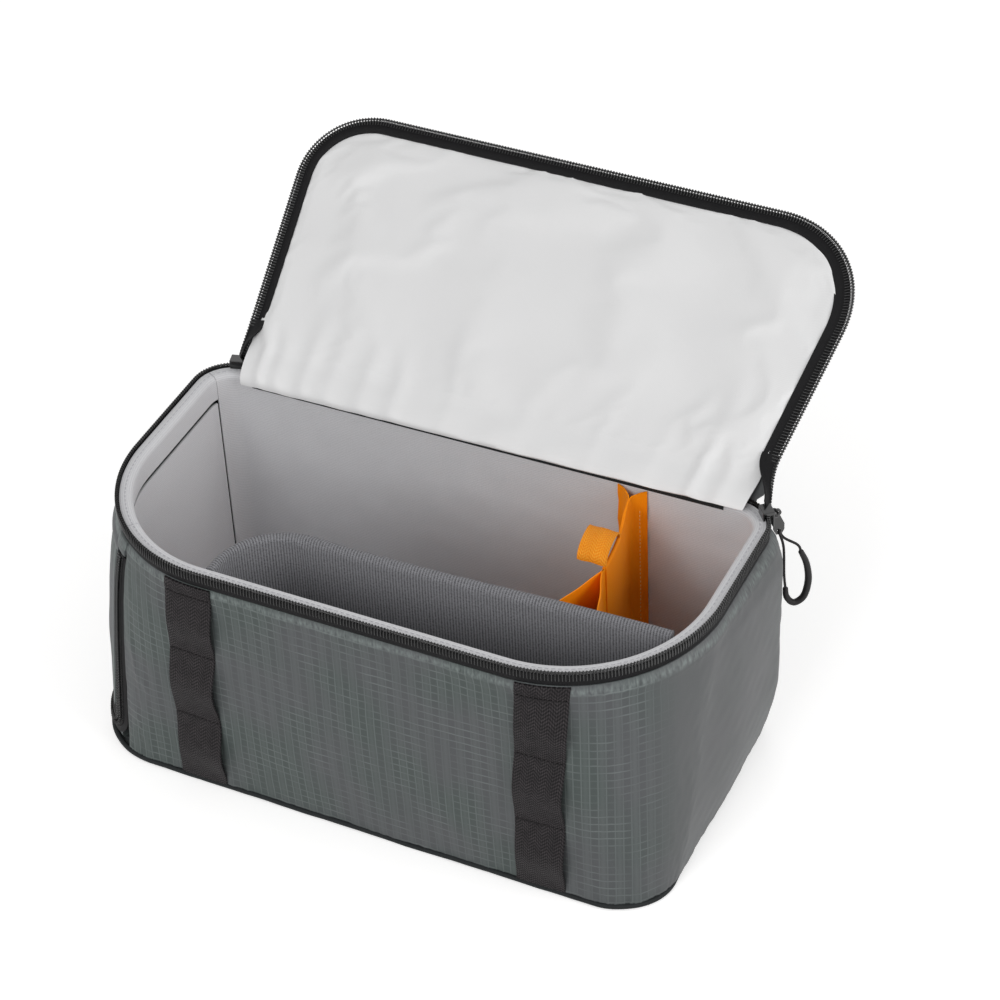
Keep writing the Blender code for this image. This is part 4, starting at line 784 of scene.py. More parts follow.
def crease(along, up, start, end, width, height):
    """A ridge along a line: height times a bell curve across it, fading out at both ends."""
    start, end = np.array(start), np.array(end)
    line = end - start
    size = np.hypot(*line)
    run = ((along - start[0]) * line[0] + (up - start[1]) * line[1]) / size ** 2
    side = ((along - start[0]) * line[1] - (up - start[1]) * line[0]) / size
    fade = np.clip(1.15 - np.abs(2 * run - 1), 0, 1)
    return height * np.exp(-(side / width) ** 2) * fade ** 1.5


def wall_relief(u, along, z):
    """How far the cloth stands off the smooth wall."""
    below = np.maximum(SKIN_TOP - z, 0)
    gathered = 0.35 + 0.65 * np.clip((u - 3.7) / 0.8, 0, 1) * np.clip((7.2 - u) / 0.4, 0, 1)
    gather = 0.00085 * gathered * pleats(along, 3) * np.exp(-(below / 0.0070) ** 2)
    gather = gather * np.clip(below / 0.0012, 0.25, 1)
    roll = 0.0017 * gathered * np.exp(-((below - 0.0045) / 0.0036) ** 2)
    slow = 0.00028 * ripples(along, z * 0.6, 0.045, 11) + 0.00012 * ripples(along, z, 0.014, 12)
    foot = 0.0004 * pleats(along + 0.4, 5) * np.exp(-((z - SKIN_BOTTOM) / 0.0060) ** 2)
    ends = np.clip(below / 0.0008, 0, 1)
    return gather + roll + foot + slow * ends


# %% Columns of the walls
FINE_STEPS = 6001


def even_marks(line_of, start, end, spacing):
    """Stations at an even distance along a line of stations, from start to end, and their distances."""
    fine = np.linspace(start, end, FINE_STEPS)
    run = lengths_along(line_of(fine))
    marks = np.linspace(0, run[-1], int(round(run[-1] / spacing)) + 1)
    return np.interp(marks, run, fine), marks


def even_stations(start, end, spacing):
    """Stations at an even distance along the rim, and their distances."""
    return even_marks(lambda u: outline(u, HALF_LENGTH, RIM_FRONT_Y, BACK_Y, RIM_RADII, 0.0)[0],
                      start, end, spacing)


def rows_of(*parts):
    """Heights and insets of a profile's rows from (height, inset) corner points and step counts."""
    rows = [np.array(parts[0][0])[None]]
    for (start, steps), (end, _) in zip(parts, parts[1:]):
        share = np.arange(1, steps + 1)[:, None] / steps
        rows.append(np.array(start) + (np.array(end) - np.array(start)) * share)
    return np.concatenate(rows)


def row_runs(points, stations, middle):
    """The distance run along each row of a grid, counted from the station in the middle."""
    steps = np.linalg.norm(np.diff(points, axis=1), axis=2)
    runs = np.concatenate([np.zeros((len(points), 1)), np.cumsum(steps, axis=1)], 1)
    return runs - np.array([np.interp(middle, row, run) for row, run in zip(stations, runs)])[:, None]


def padded_wall(name, start, end, edge, low, steps, middle, creases=()):
    """A wall panel from the cloth's outside to the foam's inside, with its relief."""
    marks, run = even_stations(start, end, 0.0022)
    rows = rows_of(((low, 0.0), steps), ((SKIN_TOP, 0.0), 2), ((SKIN_TOP + 0.0002, FOAM_OUTER), 2),
                   ((WALL_TOP, FOAM_OUTER), 1))
    z, inset = rows[:, :1], rows[:, 1:]
    stations = row_stations(marks, edge, z[:, 0])
    relief = wall_relief(stations, run[None], z) * (inset == 0)
    for line in creases:
        relief = relief + crease(run[None], z, *line) * (inset == 0)
    outer = wall(stations, z, inset - relief)
    inner = inner_wall(stations, z, FOAM_DEPTH)
    uv = grid_uv(row_runs(wall(stations, z, inset), stations, middle), z)
    return thick_cloth(name, outer, inner, uv)


def round_the_box(edge):
    """The stations from one side of the door, at that distance from its middle, round to the other."""
    return float(door_station(edge, HEIGHT)), 8 + float(door_station(-edge, HEIGHT))


def over_the_door(edge):
    """The stations across the door."""
    return float(door_station(-edge, HEIGHT)), float(door_station(edge, HEIGHT))


SKIN_EDGE = DOOR_HALF + 0.0068 + 0.0003
wall_creases = (((0.004, 0.105), (0.040, 0.020), 0.0030, 0.0008),
                ((0.012, 0.070), (0.050, 0.052), 0.0035, 0.0007),
                ((0.006, 0.045), (0.046, 0.012), 0.0025, 0.0007),
                ((0.085, 0.096), (0.125, 0.072), 0.0030, 0.0006))
main_wall = padded_wall("padded_wall", *round_the_box(SKIN_EDGE), SKIN_EDGE, SKIN_BOTTOM, 56, 3.5,
                        wall_creases)
dress(main_wall, ripstop, "shell", "ripstop", "outer_skin", "front_foam", "front_right_corner_foam",
      "right_end_foam", "back_right_corner_foam", "back_foam", "back_left_foam_post",
      "front_left_foam_post")
STRIP_EDGE = SKIN_EDGE - 0.0005
over_door = padded_wall("padded_strip_over_door", *over_the_door(STRIP_EDGE), STRIP_EDGE, STRIP_BOTTOM,
                        6, 1.5)
dress(over_door, ripstop, "shell", "ripstop", "left_end_strip", "left_top_foam")

# %% [markdown]
# ## Lining and rim
# The lining climbs the inside of the walls, rolls over the top of the foam and ends behind the
# zip. A profile of (height, inset) rows carries this turn all round in one grid. A row of
# stitches runs along the roll, as tiny lozenges of thread repeated along a line.

# %% Lining of the walls
def roll_rows(low, steps, inset, top, radius, stop):
    """Rows up the wall at one inset, a quarter circle of that radius, then flat out to the stop inset."""
    turn = np.linspace(0, QUARTER, 7)
    up = np.linspace(low, top - radius, steps)
    z = np.concatenate([up, top - radius + radius * np.sin(turn[1:]), [top, top]])
    away = inset - radius * (1 - np.cos(turn[1:]))
    reach = np.concatenate([np.full(steps, inset), away, [(away[-1] + stop) / 2, stop]])
    return z[:, None], reach[:, None]


def wall_lining(name, start, end, edge, low, steps, *nodes):
    """The lining of a run of wall, with a slight softness in its flat parts."""
    marks, run = even_stations(start, end, 0.0035)
    z, inset = roll_rows(low, steps, LINING_INNER, HEIGHT - 0.0028, 0.0030, FOAM_OUTER)
    hidden_z, hidden_inset = roll_rows(low, steps, LINING_OUTER, HEIGHT - 0.0038, 0.0020, FOAM_OUTER)
    stations = row_stations(marks, edge, z[:, 0])
    soft = 0.00035 * ripples(run[None], z, 0.05, 21) * np.clip((HEIGHT - 0.006 - z) / 0.01, 0, 1)
    soft = np.abs(soft) * np.clip((z - low) / 0.01, 0, 1)
    face = inner_wall(stations, z, inset + soft)
    hidden = inner_wall(stations, hidden_z, hidden_inset)
    height = lengths_along(np.column_stack([z[:, 0], inset[:, 0]]))
    uv = grid_uv(run[None], height[:, None])
    made = thick_cloth(name, hidden, face, uv)
    dress(made, lining, "shell", "lining", *nodes)


POST_EDGE = DOOR_HALF + 0.0008
TOP_EDGE = POST_EDGE - 0.0005
wall_lining("wall_lining_cloth", *round_the_box(POST_EDGE), POST_EDGE, FLOOR_BOTTOM, 30, "wall_lining",
            "rim_facing")
wall_lining("lining_over_door", *over_the_door(TOP_EDGE), TOP_EDGE, STRIP_BOTTOM, 5, "left_top_lining")


# %% Stitches
def stitch_row(name, path, normals, pitch, share, radius, finish, body, slot):
    """A row of stitches: six-sided lozenges of thread along a path, each covering a share of the pitch."""
    both = respaced(np.concatenate([path, normals], 1), pitch)
    middle = (both[1:, :3] + both[:-1, :3]) / 2
    along = unit(both[1:, :3] - both[:-1, :3])
    out = unit((both[1:, 3:] + both[:-1, 3:]) / 2)
    half = pitch * share / 2
    angle = 2 * np.pi * np.arange(6) / 6
    rings = [(-half, 0.35), (-half * 0.6, 1.0), (half * 0.6, 1.0), (half, 0.35)]
    points = np.concatenate([np.column_stack([np.full(6, x), radius * size * np.cos(angle),
                                              radius * size * np.sin(angle) + radius * (size - 1) * 0.6])
                             for x, size in rings])
    index = np.arange(24).reshape(4, 6)
    made = repeated(name, points, [grid_quads(index, True), index[:1, ::-1], index[-1:]], middle, along,
                    np.cross(out, along), out)
    dress(made, finish, body, slot)


marks, run = even_stations(0.0, 7.9999, 0.004)
roll_line = inner_wall(marks, HEIGHT - 0.00275, 0.0052)
stitch_row("rim_lining_stitches", roll_line, np.tile([0, 0, 1.0], (len(marks), 1)), 0.0036, 0.7, 0.00028,
           thread_pale, "shell", "lining")

# %% [markdown]
# ## Floor, bottom and piping
# The floor is a thin stiff pad, the bottom a plain cloth, and a narrow dark piping closes the
# seam between bottom and walls. Round pads are grids too: one direction goes round the outline,
# the other from the edge towards the middle, where one face on either side closes them.

# %% Floor pad, bottom cloth, piping
RING_SHARES = np.array([1.0, 0.992, 0.975, 0.94, 0.88, 0.78, 0.64, 0.48, 0.3, 0.12])


def round_pad(name, edge, low, high):
    """A pad in rings, each a share of the edge, between the heights low and high of that share."""
    def rings(height_of):
        return np.stack([np.column_stack([edge[:, :2] * share, np.full(len(edge), height_of(share))])
                         for share in RING_SHARES])
    outer = rings(high)
    return thick_cloth(name, outer, rings(low), outer[..., :2].copy(), wrap=True, capped=True)


pad = round_pad("floor_pad", inner_wall(even_stations(0, 8, 0.006)[0][:-1], FLOOR_TOP, 0.0106),
                lambda s: 0.0015, lambda s: FLOOR_TOP - 0.0012 * np.exp(-(1 - s) / 0.012))
dress(pad, lining, "shell", "lining", "floor_lining", "base_board")
bottom_marks = even_stations(0, 8, 0.005)[0][:-1]
bottom = round_pad("bottom_cloth", wall(bottom_marks, 0.0, 0.0019), lambda s: 0.0002 * (s < 0.97),
                   lambda s: 0.0012)
dress(bottom, ripstop, "shell", "ripstop", "base_skin")
tuck = 0.0028 * eased((bottom_marks - 4.6) / 0.6) * eased((6.9 - bottom_marks) / 0.4)
piping_line = wall(bottom_marks, 0.0020, tuck)
piping_line = piping_line + (0.00025 * ripples(lengths_along(piping_line), 0.0, 0.02, 8))[:, None] * [0, 0, 1]
piping = tube("bottom_piping", piping_line, 0.0016, 10, np.array([0, 0, 1.0]), closed=True)
dress(piping, piping_cloth, "shell", "zip_tape", "base_piping")

# %% [markdown]
# ## Zips
# A nylon zip has a tape and a coil. Each turn of the coil is a short bent wire: two legs that
# lie on the tape and a head that stands out past its edge. The wire is a few rings of five
# points, and numpy sets a copy every 1.9 mm along the zip, turned to the local directions:
# along the zip, out of the edge, and over the tape. A thin core cord fills the middle.

# %% Rim zip
TOOTH_PITCH, TAPE_WIDTH = 0.0019, 0.0100
WIRE, RIM_CORE, LID_CORE, DOOR_CORE = 0.00032, 0.00062, 0.00055, 0.00050


def zip_teeth(name, line, out, over, shape, core, body, *nodes, radius=WIRE, shift=0.0):
    """Teeth at an even pitch along a line, out and over being directions at each point, and a core cord."""
    both = respaced(np.concatenate([line, out, over], 1), TOOTH_PITCH)
    if shift:
        both = both[:-1] * (1 - shift) + both[1:] * shift
    along = unit(np.gradient(both[:, :3], axis=0))
    points, faces = wire_piece(shape, radius, 5, 1.25)
    made = repeated(name, points, faces, both[:, :3], along, unit(both[:, 3:6]), unit(both[:, 6:9]))
    dress(made, coil_nylon, body, "zip_coil", *nodes)
    dress(tube(name + "_core", both[:, :3], core, 6, both[0, 6:9]), coil_nylon, body, "zip_coil")


def tape_band(name, rows, side, length, body, *nodes):
    """A tape: a grid of rows along it, given its thickness towards side, with UVs along and across."""
    outer = np.stack(rows)
    inner = outer + side
    run = lengths_along(outer[0])
    across = lengths_along(outer[:, 0])
    uv = grid_uv(run[None], across[:, None])
    made = thick_cloth(name, outer, inner, uv)
    dress(made, zip_tape, body, "zip_tape", *nodes)


LEAD = 8 / 90
marks, run = even_stations(LEAD, 7 - LEAD, 0.0025)
flat_normals = outline(marks, HALF_LENGTH, RIM_FRONT_Y, BACK_Y, RIM_RADII, 0.0)[1]
tape_z = np.array([TAPE_LOW, TAPE_LOW + 0.0006, 0.1515, 0.1535, 0.1552, TAPE_HIGH])
tape_bulge = np.array([0.0, 0.0003, 0.0004, 0.0002, 0.0006, 0.0004])
rows = [inner_wall(marks, z, -bulge) for z, bulge in zip(tape_z, tape_bulge)]
tape_band("rim_tape", rows, -0.0010 * flat_normals, float(run[-1]), "shell", "rim_zip_tape")
coil_line = inner_wall(marks, COIL_Z, 0.0005)
RIM_HOOK = [(0.0011, -0.0050), (0.00125, -0.0030), (0.0011, -0.0010), (0.00088, 0.0), (0.00062, 0.00062),
            (0.0, 0.00088), (-0.00062, 0.00062), (-0.00088, 0.0), (-0.0006, -0.0008)]
up = np.tile([0, 0, 1.0], (len(marks), 1))
zip_teeth("rim_coil_teeth", coil_line, flat_normals, up, RIM_HOOK, RIM_CORE, "shell", "rim_zip_coil")

# %% [markdown]
# ## The lid
# The lid is worked out closed and flat, about its hinge line, and then turned open by 151
# degrees, as the CAD does. It narrows towards the hinge. A grid over a rounded outline needs no
# pole in the middle: the columns run from front to back, each as long as the outline allows,
# and they lie closer together at the ends, where the outline turns.

# %% Lid shapes
LID_HALF, LID_DEPTH, HINGE_Y, HINGE_Z = 0.189, 0.1775, 0.0895, 0.1615
LID_RADII = (0.024, 0.050, 0.067, 0.024)
OPEN = np.radians(-151)
LID_FRONT = BACK_Y - LID_DEPTH
LID_SHIFT, LID_TAPER = 0.0025, 0.105


def opened(place):
    """Turns closed-lid points, measured from the hinge, to the open lid: y and z turn about x."""
    y = place[..., 1] * np.cos(OPEN) - place[..., 2] * np.sin(OPEN)
    z = place[..., 1] * np.sin(OPEN) + place[..., 2] * np.cos(OPEN)
    return np.stack([place[..., 0], y + HINGE_Y, z + HINGE_Z], -1)


def narrowed(x, y):
    """The lid's shift and taper: x grows less towards the hinge."""
    return (x + LID_SHIFT) * (1 - LID_TAPER * (y - LID_FRONT) / LID_DEPTH)


def lid_edge(u, inset, z):
    """Points of the closed lid's outline, from the hinge."""
    place, normal = outline(u, LID_HALF, LID_FRONT, BACK_Y, LID_RADII, inset)
    x = narrowed(place[..., 0], place[..., 1])
    return np.stack([x, place[..., 1] - HINGE_Y, np.zeros_like(x) + z], -1), normal


def lid_grid(inset, columns, rows):
    """A grid over the closed lid inside its outline, as (x, y) from the hinge, rows from front to back."""
    half, front, back = LID_HALF - inset, LID_FRONT + inset, BACK_Y - inset
    x = half * np.sin(np.linspace(-QUARTER, QUARTER, columns))

    def rise(radius, away):
        radius = np.maximum(radius - inset, 1e-4)
        beyond = np.clip(away - (half - radius), 0, radius)
        return radius - np.sqrt(np.maximum(radius ** 2 - beyond ** 2, 0))

    low = front + np.where(x < 0, rise(LID_RADII[1], -x), rise(LID_RADII[2], x))
    high = back - np.where(x < 0, rise(LID_RADII[0], -x), rise(LID_RADII[3], x))
    share = (1 - np.cos(np.linspace(0, np.pi, rows))) / 2 * 0.35 + np.linspace(0, 1, rows) * 0.65
    y = low[None] + (high - low)[None] * share[:, None]
    x = np.broadcast_to(x, y.shape)
    return narrowed(x, y), y - HINGE_Y, share


# %% Lid pad, tape and teeth
def lid_pad():
    """The padded outside: it swells from the tape to the middle, and its edge is a rounded roll."""
    x, y, share = lid_grid(0.0103, 121, 49)
    across = np.clip((1 - np.abs(x) / 0.178) / 0.10, 0, 1)
    deep = np.clip(np.minimum(share, 1 - share)[:, None] / 0.10, 0, 1)
    edge = np.sqrt(1 - (1 - across) ** 2) * np.sqrt(1 - (1 - deep) ** 2)
    dome = (1 - (x / 0.18) ** 2) * (1 - (2 * share[:, None] - 1) ** 2)
    soft = 0.00035 * ripples(x, y, 0.05, 31)
    high = 0.0016 + 0.0036 * edge + 0.0034 * dome + soft * edge
    outer = opened(np.stack([x, y, high], -1))
    inner = opened(np.stack([x, y, np.full_like(x, -0.0002)], -1))
    return thick_cloth("lid_padded_outside", outer, inner, np.stack([x, y], -1))


lid_outside = lid_pad()
dress(lid_outside, ripstop, "lid", "ripstop", "lid_skin", "lid_foam")
LID_SIDE_START, LID_SIDE_END, BAND_LEAD = 1.0, 6.0, 30 / 90
SATIN_LIFT = -0.0011
lid_up = opened(np.array([0, 0, 1.0])) - opened(np.zeros(3))
LID_HOOK = [(-0.0048, 0.00125), (-0.0030, 0.00130), (-0.0010, 0.0011), (0.0, 0.00085), (0.00062, 0.00060),
            (0.00088, 0.0), (0.0006, -0.00062), (0.0, -0.00085), (-0.0014, -0.0009)]
TAPE_ROWS = ((0.0020, -0.0002), (0.0028, -0.0007), (0.0048, -0.0009), (0.0062, -0.0007),
             (0.0080, -0.0013), (0.0100, -0.0021), (0.0112, -0.0023))


marks, run = even_marks(lambda u: lid_edge(u, 0.0, 0.0)[0], LID_SIDE_START, LID_SIDE_END, 0.0025)
rows = [opened(lid_edge(marks, inset, lift)[0]) for inset, lift in TAPE_ROWS]
tape_band("lid_tape", rows, 0.0009 * lid_up, float(run[-1]), "lid", "lid_zip_tape")
edge, normal = lid_edge(marks, 0.0005, 0.0)
turned_normal = opened(normal) - opened(np.zeros(3))
zip_teeth("lid_coil_teeth", opened(edge), turned_normal, np.tile(-lid_up, (len(marks), 1)), LID_HOOK,
          LID_CORE, "lid", "lid_zip_coil")
TAIL_OVERLAP = 0.04
RIGHT_MOUTH, LEFT_MOUTH = (0.1798, 0.0817, 0.1588), (-0.1673, 0.0897, 0.1588)


def zip_tail(name, station, way, mouth):
    """The lid's tape and teeth, loose from the end of its stiff side down to the slider's mouth.

    The line is a Hermite curve, p = h0 a + h1 b + m0 ta + m1 tb, from the lid's edge to the mouth, and
    the tape's width turns from the lid's plane to upright, narrowing as it goes into the slider.
    """
    start = station - way * TAIL_OVERLAP
    ends = opened(lid_edge(np.array([start, start - way * 0.02]), 0.0005, 0.0)[0])
    first, last = ends[0], np.array(mouth)
    length = np.linalg.norm(last - first)
    leave, arrive = unit(ends[0] - ends[1]) * length, unit(last - first - [0, 0, 0.010]) * length
    t = np.linspace(0, 1, 19)[:, None]
    line = ((2 * t ** 3 - 3 * t ** 2 + 1) * first + (3 * t ** 2 - 2 * t ** 3) * last
            + (t ** 3 - 2 * t ** 2 + t) * leave + (t ** 3 - t ** 2) * arrive)
    wide_first = opened(lid_edge(np.array([start]), *TAPE_ROWS[-1])[0])[0] - first
    wide_last = np.array([-way * 0.0030, 0.0010, 0.0075])
    across = wide_first * (1 - eased(t)) + wide_last * eased(t)
    tangent = unit(np.gradient(line, axis=0))
    over = unit(np.cross(tangent, across)) * way
    rows = [line + across * share + over * 0.0003 * lift
            for share, lift in ((0.06, 0.0), (0.25, 1.0), (0.5, 0.6), (0.75, 1.0), (1.04, 0.6))]
    bend = ("shell", "lid", tuple(last + (first - last) * 0.15), tuple(last + (first - last) * 0.9))
    tape_band(name + "_tape", rows, -0.0009 * over, float(length), bend)
    zip_teeth(name + "_teeth", line, -unit(across), over, LID_HOOK, LID_CORE, bend)


zip_tail("right_lid_tail", LID_SIDE_END, 1, RIGHT_MOUTH)
zip_tail("left_lid_tail", LID_SIDE_START, -1, LEFT_MOUTH)

# %% [markdown]
# ## The satin in the lid
# The satin is cut a little larger than its frame, so it lies in shallow folds that run in from
# the corners. Cloth simulation makes such folds: the edge is held, and the cloth grows by a
# little over one part in a hundred while it settles. The result is written back, so no Cloth modifier stays.

# %% Cloth simulation
def settle(piece, held, frames, cap, pressure=0.0, shrink=0.0, stiffness=8.0, bending=0.4, off=None):
    """Runs Blender's Cloth on a mesh and keeps each vertex's move, at most cap long.

    held is each vertex's hold, 1 where it can't move. With pressure the closed piece swells, and
    with a negative shrink the cloth grows within its frame. Cloth that lies on a pad takes the way
    off it in off: a move d that way becomes (d + sqrt(d^2 + e^2) - e) / 2, which never goes in.
    """
    count = len(piece.data.vertices)
    rest = np.zeros(count * 3, np.float32)
    piece.data.vertices.foreach_get("co", rest)
    rest = rest.reshape(-1, 3).astype(float)
    group = piece.vertex_groups.new(name="held")
    for level in np.unique(np.round(held, 2)):
        if level > 0:
            group.add([int(i) for i in np.flatnonzero(np.round(held, 2) == level)], float(level), "REPLACE")
    cloth = piece.modifiers.new("cloth", "CLOTH")
    fabric = cloth.settings
    fabric.quality = 6
    fabric.mass = 0.2
    fabric.tension_stiffness = fabric.compression_stiffness = stiffness
    fabric.shear_stiffness = stiffness / 2
    fabric.bending_stiffness = bending
    fabric.air_damping = 3.0
    fabric.vertex_group_mass = "held"
    fabric.shrink_min = shrink
    fabric.effector_weights.gravity = 0
    if pressure:
        fabric.use_pressure = True
        fabric.uniform_pressure_force = pressure
    cloth.collision_settings.use_collision = False
    cloth.point_cache.frame_start, cloth.point_cache.frame_end = 1, frames
    for number in range(1, frames + 1):
        bpy.context.scene.frame_set(number)
    graph = bpy.context.evaluated_depsgraph_get()
    settled = np.zeros(count * 3, np.float32)
    piece.evaluated_get(graph).data.vertices.foreach_get("co", settled)
    piece.modifiers.remove(cloth)
    piece.vertex_groups.clear()
    bpy.context.scene.frame_set(1)
    move = settled.reshape(-1, 3) - rest
    if off is not None:
        away = move @ off
        move += (((away + np.sqrt(away ** 2 + 1e-6) - 1e-3) / 2) - away)[:, None] * off
    size = np.linalg.norm(move, axis=1, keepdims=True)
    move *= np.minimum(1, cap / np.maximum(size, 1e-9))
    piece.data.vertices.foreach_set("co", (rest + move).astype(np.float32).reshape(-1))
    piece.data.update()
    print(piece.name, "settled; largest move", round(float(size.max()) * 1000, 1), "mm")


def open_cloth(name, points, uv):
    """One layer of cloth from a grid, before Solidify gives it thickness."""
    index = np.arange(points.shape[0] * points.shape[1]).reshape(points.shape[:2])
    faces = grid_quads(index)
    return fill_mesh(name, points.reshape(-1, 3), [faces], [uv.reshape(-1, 2)[faces]])


def thicken(piece, thickness):
    """A Solidify modifier that adds the thickness on both sides."""
    solid = piece.modifiers.new("thickness", "SOLIDIFY")
    solid.thickness = thickness
    solid.offset = 0.0
    return piece


# %% Satin
SATIN_ROWS, SATIN_COLUMNS, SATIN_INSET = 81, 161, 0.0098
SATIN_END = -0.0120
FOLD_PLACES = (-0.150, -0.138, -0.121, -0.104, -0.082, -0.060, -0.026, 0.021, 0.068, 0.104, 0.133, 0.151)
BEND_OVER = ("shell", "lid", (0, 0.0830, 0.1590), (0, 0.0975, 0.1680))


def satin_folds(x, y):
    """Folds that rise where the satin is gathered at the hinge and die out up the lid.

    Each is height * exp(-(across / width)^2) * exp(-(up / reach)^2), leaning a little to one side.
    """
    random = np.random.default_rng(44)
    up = -y - 0.010
    total = 0.0
    for place in FOLD_PLACES:
        lean, width = random.uniform(-0.35, 0.15), random.uniform(0.0025, 0.0050)
        reach, height = random.uniform(0.020, 0.055), random.uniform(0.0006, 0.0015)
        height = height * (1.7 if place < -0.05 or place > 0.12 else 0.7)
        across = x - place - lean * up
        total = total + height * np.exp(-(across / (width + 0.12 * up)) ** 2) * np.exp(-(up / reach) ** 2)
    return total


def lid_satin():
    """The satin: a grid over the lid whose last rows run on over the hinge and down the back wall's top."""
    _, y, share = lid_grid(SATIN_INSET, SATIN_COLUMNS, SATIN_ROWS)
    half = LID_HALF - SATIN_INSET
    column = half * np.sin(np.linspace(-QUARTER, QUARTER, SATIN_COLUMNS))
    low = y[0] + HINGE_Y
    depth = low[None] + (SATIN_END + HINGE_Y - low)[None] * share[:, None]
    x, y = narrowed(np.broadcast_to(column, depth.shape), depth), depth - HINGE_Y
    x = x + 0.0035 * np.sign(x) * eased((share[:, None] - 0.72) / 0.28) * (np.abs(x) / 0.16) ** 6
    rim_share = np.minimum(share[:, None] / 0.05, (1 - np.abs(column)[None] / half) / 0.04)
    inside = np.clip(rim_share, 0, 1)
    z = SATIN_LIFT - inside * (0.0009 + 0.0006 * ripples(x, y, 0.055, 41, 9) + satin_folds(x, y))
    flat = opened(np.stack([x, y, z], -1))
    hem = [(0.0965, 0.1674), (0.0930, 0.1661), (0.0895, 0.1648), (0.0862, 0.1633), (0.0830, 0.1614),
           (0.0805, 0.1592), (0.0788, 0.1569), (0.0779, 0.1549), (0.0779, 0.1534), (0.0790, 0.1528)]
    side = flat[-1, :, 0]
    beyond = np.stack([np.column_stack([side * (1 - 0.0024 * k), np.full((len(side), 2), place)])
                       for k, place in enumerate(hem)])
    rise = (beyond[..., 0] + 0.155) / 0.31 * np.linspace(0, 1, len(hem))[:, None] ** 2
    beyond[..., 1] += 0.0012 * rise
    beyond[..., 2] += 0.0066 * rise
    pucker = satin_folds(x[-1:], y[-1:]) * np.linspace(1.0, 0.35, len(hem))[:, None]
    beyond[:, :, 1] -= 0.5 * pucker
    beyond[:, :, 2] += 0.85 * pucker
    slack = 0.0004 * ripples(beyond[..., 0], beyond[..., 1], 0.03, 43, 7)
    beyond[:, :, 2] += slack * np.sin(np.linspace(0, np.pi, len(hem)))[:, None]
    points = np.concatenate([flat, beyond])
    run = lengths_along(points[:, SATIN_COLUMNS // 2])
    made = open_cloth("lid_satin_lining", points, grid_uv(points[..., 0], run[:, None]))
    held = np.zeros(points.shape[:2])
    held[0], held[SATIN_ROWS - 1:], held[:, 0], held[:, -1] = 1, 1, 1, 1
    settle(made, held.reshape(-1), 18, 0.0030, shrink=-0.012, bending=1.0, off=-lid_up)
    return thicken(made, 0.0006), float(run[-1])


satin_piece, satin_run = lid_satin()
dress(satin_piece, satin, BEND_OVER, "satin", "lid_lining", "lid_hinge_seam")

# %% [markdown]
# ## The cloth hinge
# A strip of cloth joins the lid to the back wall on the outside. Inside, the satin runs over the hinge by
# itself, and a dark strip under its hem paints the shadow in the crease. The real strip bends when the lid
# turns; here it is laid out at rest as a run of rows from the wall to the lid, and it is attached to neither
# body.

# %% Hinge cloth
def strip_between(name, lines, thickness, node, body):
    """A strip of ripstop over several lines of points, attached to one body, or left unattached when given
    two.
    """
    outer = np.stack(lines)
    across = unit(np.gradient(outer, axis=0))
    along = unit(np.gradient(outer, axis=1))
    inner = outer + thickness * unit(np.cross(along, across))
    run = lengths_along(outer[0])
    height = lengths_along(outer[:, outer.shape[1] // 2])
    uv = grid_uv(run[None], height[:, None])
    made = thick_cloth(name, outer, inner, uv)
    dress(made, ripstop, body, "ripstop", node)


hinge_x = np.linspace(-1, 1, 121)
wave_x = 0.00035 * ripples(hinge_x * 0.16, 0.0, 0.03, 51) + 0.0002 * pleats(hinge_x * 0.16, 52)


def hinge_line(half, y, z, lift=0.0):
    """A line along the hinge in the row frame, slightly wavy, that follows the wall's round corners."""
    beyond = np.clip(np.abs(hinge_x * half) - (HALF_LENGTH - RIM_RADII[0]), 0, RIM_RADII[0])
    drop = RIM_RADII[0] - np.sqrt(RIM_RADII[0] ** 2 - beyond ** 2)
    return np.stack([hinge_x * half, y + wave_x * lift - drop, z + 0 * hinge_x], -1)


def lid_line(half, y, z, lift=0.0):
    """The same for a line on the lid, in closed-lid measures from the hinge."""
    return opened(np.stack([hinge_x * half + LID_SHIFT, y + 0 * hinge_x, z + wave_x * lift], -1))


outside_lines = [hinge_line(0.1615, 0.0900, 0.1499), hinge_line(0.1625, 0.0904, 0.1530, 1),
                 hinge_line(0.1670, 0.0902, 0.1560, 1), hinge_line(0.1695, 0.0903, 0.1585),
                 hinge_line(0.1700, 0.0911, 0.1606), lid_line(0.1700, -0.0028, 0.0014),
                 lid_line(0.1705, -0.0055, 0.0013), lid_line(0.1710, -0.0110, 0.0010),
                 lid_line(0.1715, -0.0180, 0.0008), lid_line(0.1718, -0.0250, 0.0006)]
strip_between("hinge_cloth_outside", outside_lines, 0.0008, "back_hinge_strip",
              ("shell", "lid", (0, 0.0893, 0.1590), (0, 0.0930, 0.1634)))
# A dark strip in the crease under the satin's hem, in the dark piping finish. It is a painted shadow where
# the hem overhangs the lining, not a real tape.
crease_shadow_x = np.linspace(-0.1535, 0.1530, 81)
crease_shadow_rise = 0.0036 * (crease_shadow_x + 0.155) / 0.31
crease_shadow_places = ((0.0801, 0.1507, 1.0), (0.0799, 0.1532, 0.9), (0.0802, 0.1555, 0.6), (0.0815, 0.1571, 0.1),
               (0.0838, 0.1580, 0.0), (0.0862, 0.1581, 0.0))
crease_shadow_face = np.stack([np.stack([crease_shadow_x, np.full_like(crease_shadow_x, way), height + share * crease_shadow_rise], -1)
                      for way, height, share in crease_shadow_places])
crease_shadow_strip = thick_cloth("hinge_crease_shadow_strip", crease_shadow_face, crease_shadow_face + [0, 0.0003, -0.0003],
                        grid_uv(crease_shadow_x[None], np.linspace(0, 0.0110, 6)[:, None]))
dress(crease_shadow_strip, piping_cloth, "shell", "zip_tape")
band = np.linspace(7 - BAND_LEAD, 8 + BAND_LEAD, 121)
outside_band = [opened(lid_edge(band, inset, 0.0004)[0]) for inset in (0.0022, 0.005, 0.008, 0.0108)]
strip_between("lid_back_band_outside", outside_band, -0.0009, "lid_hinge_strip", "lid")
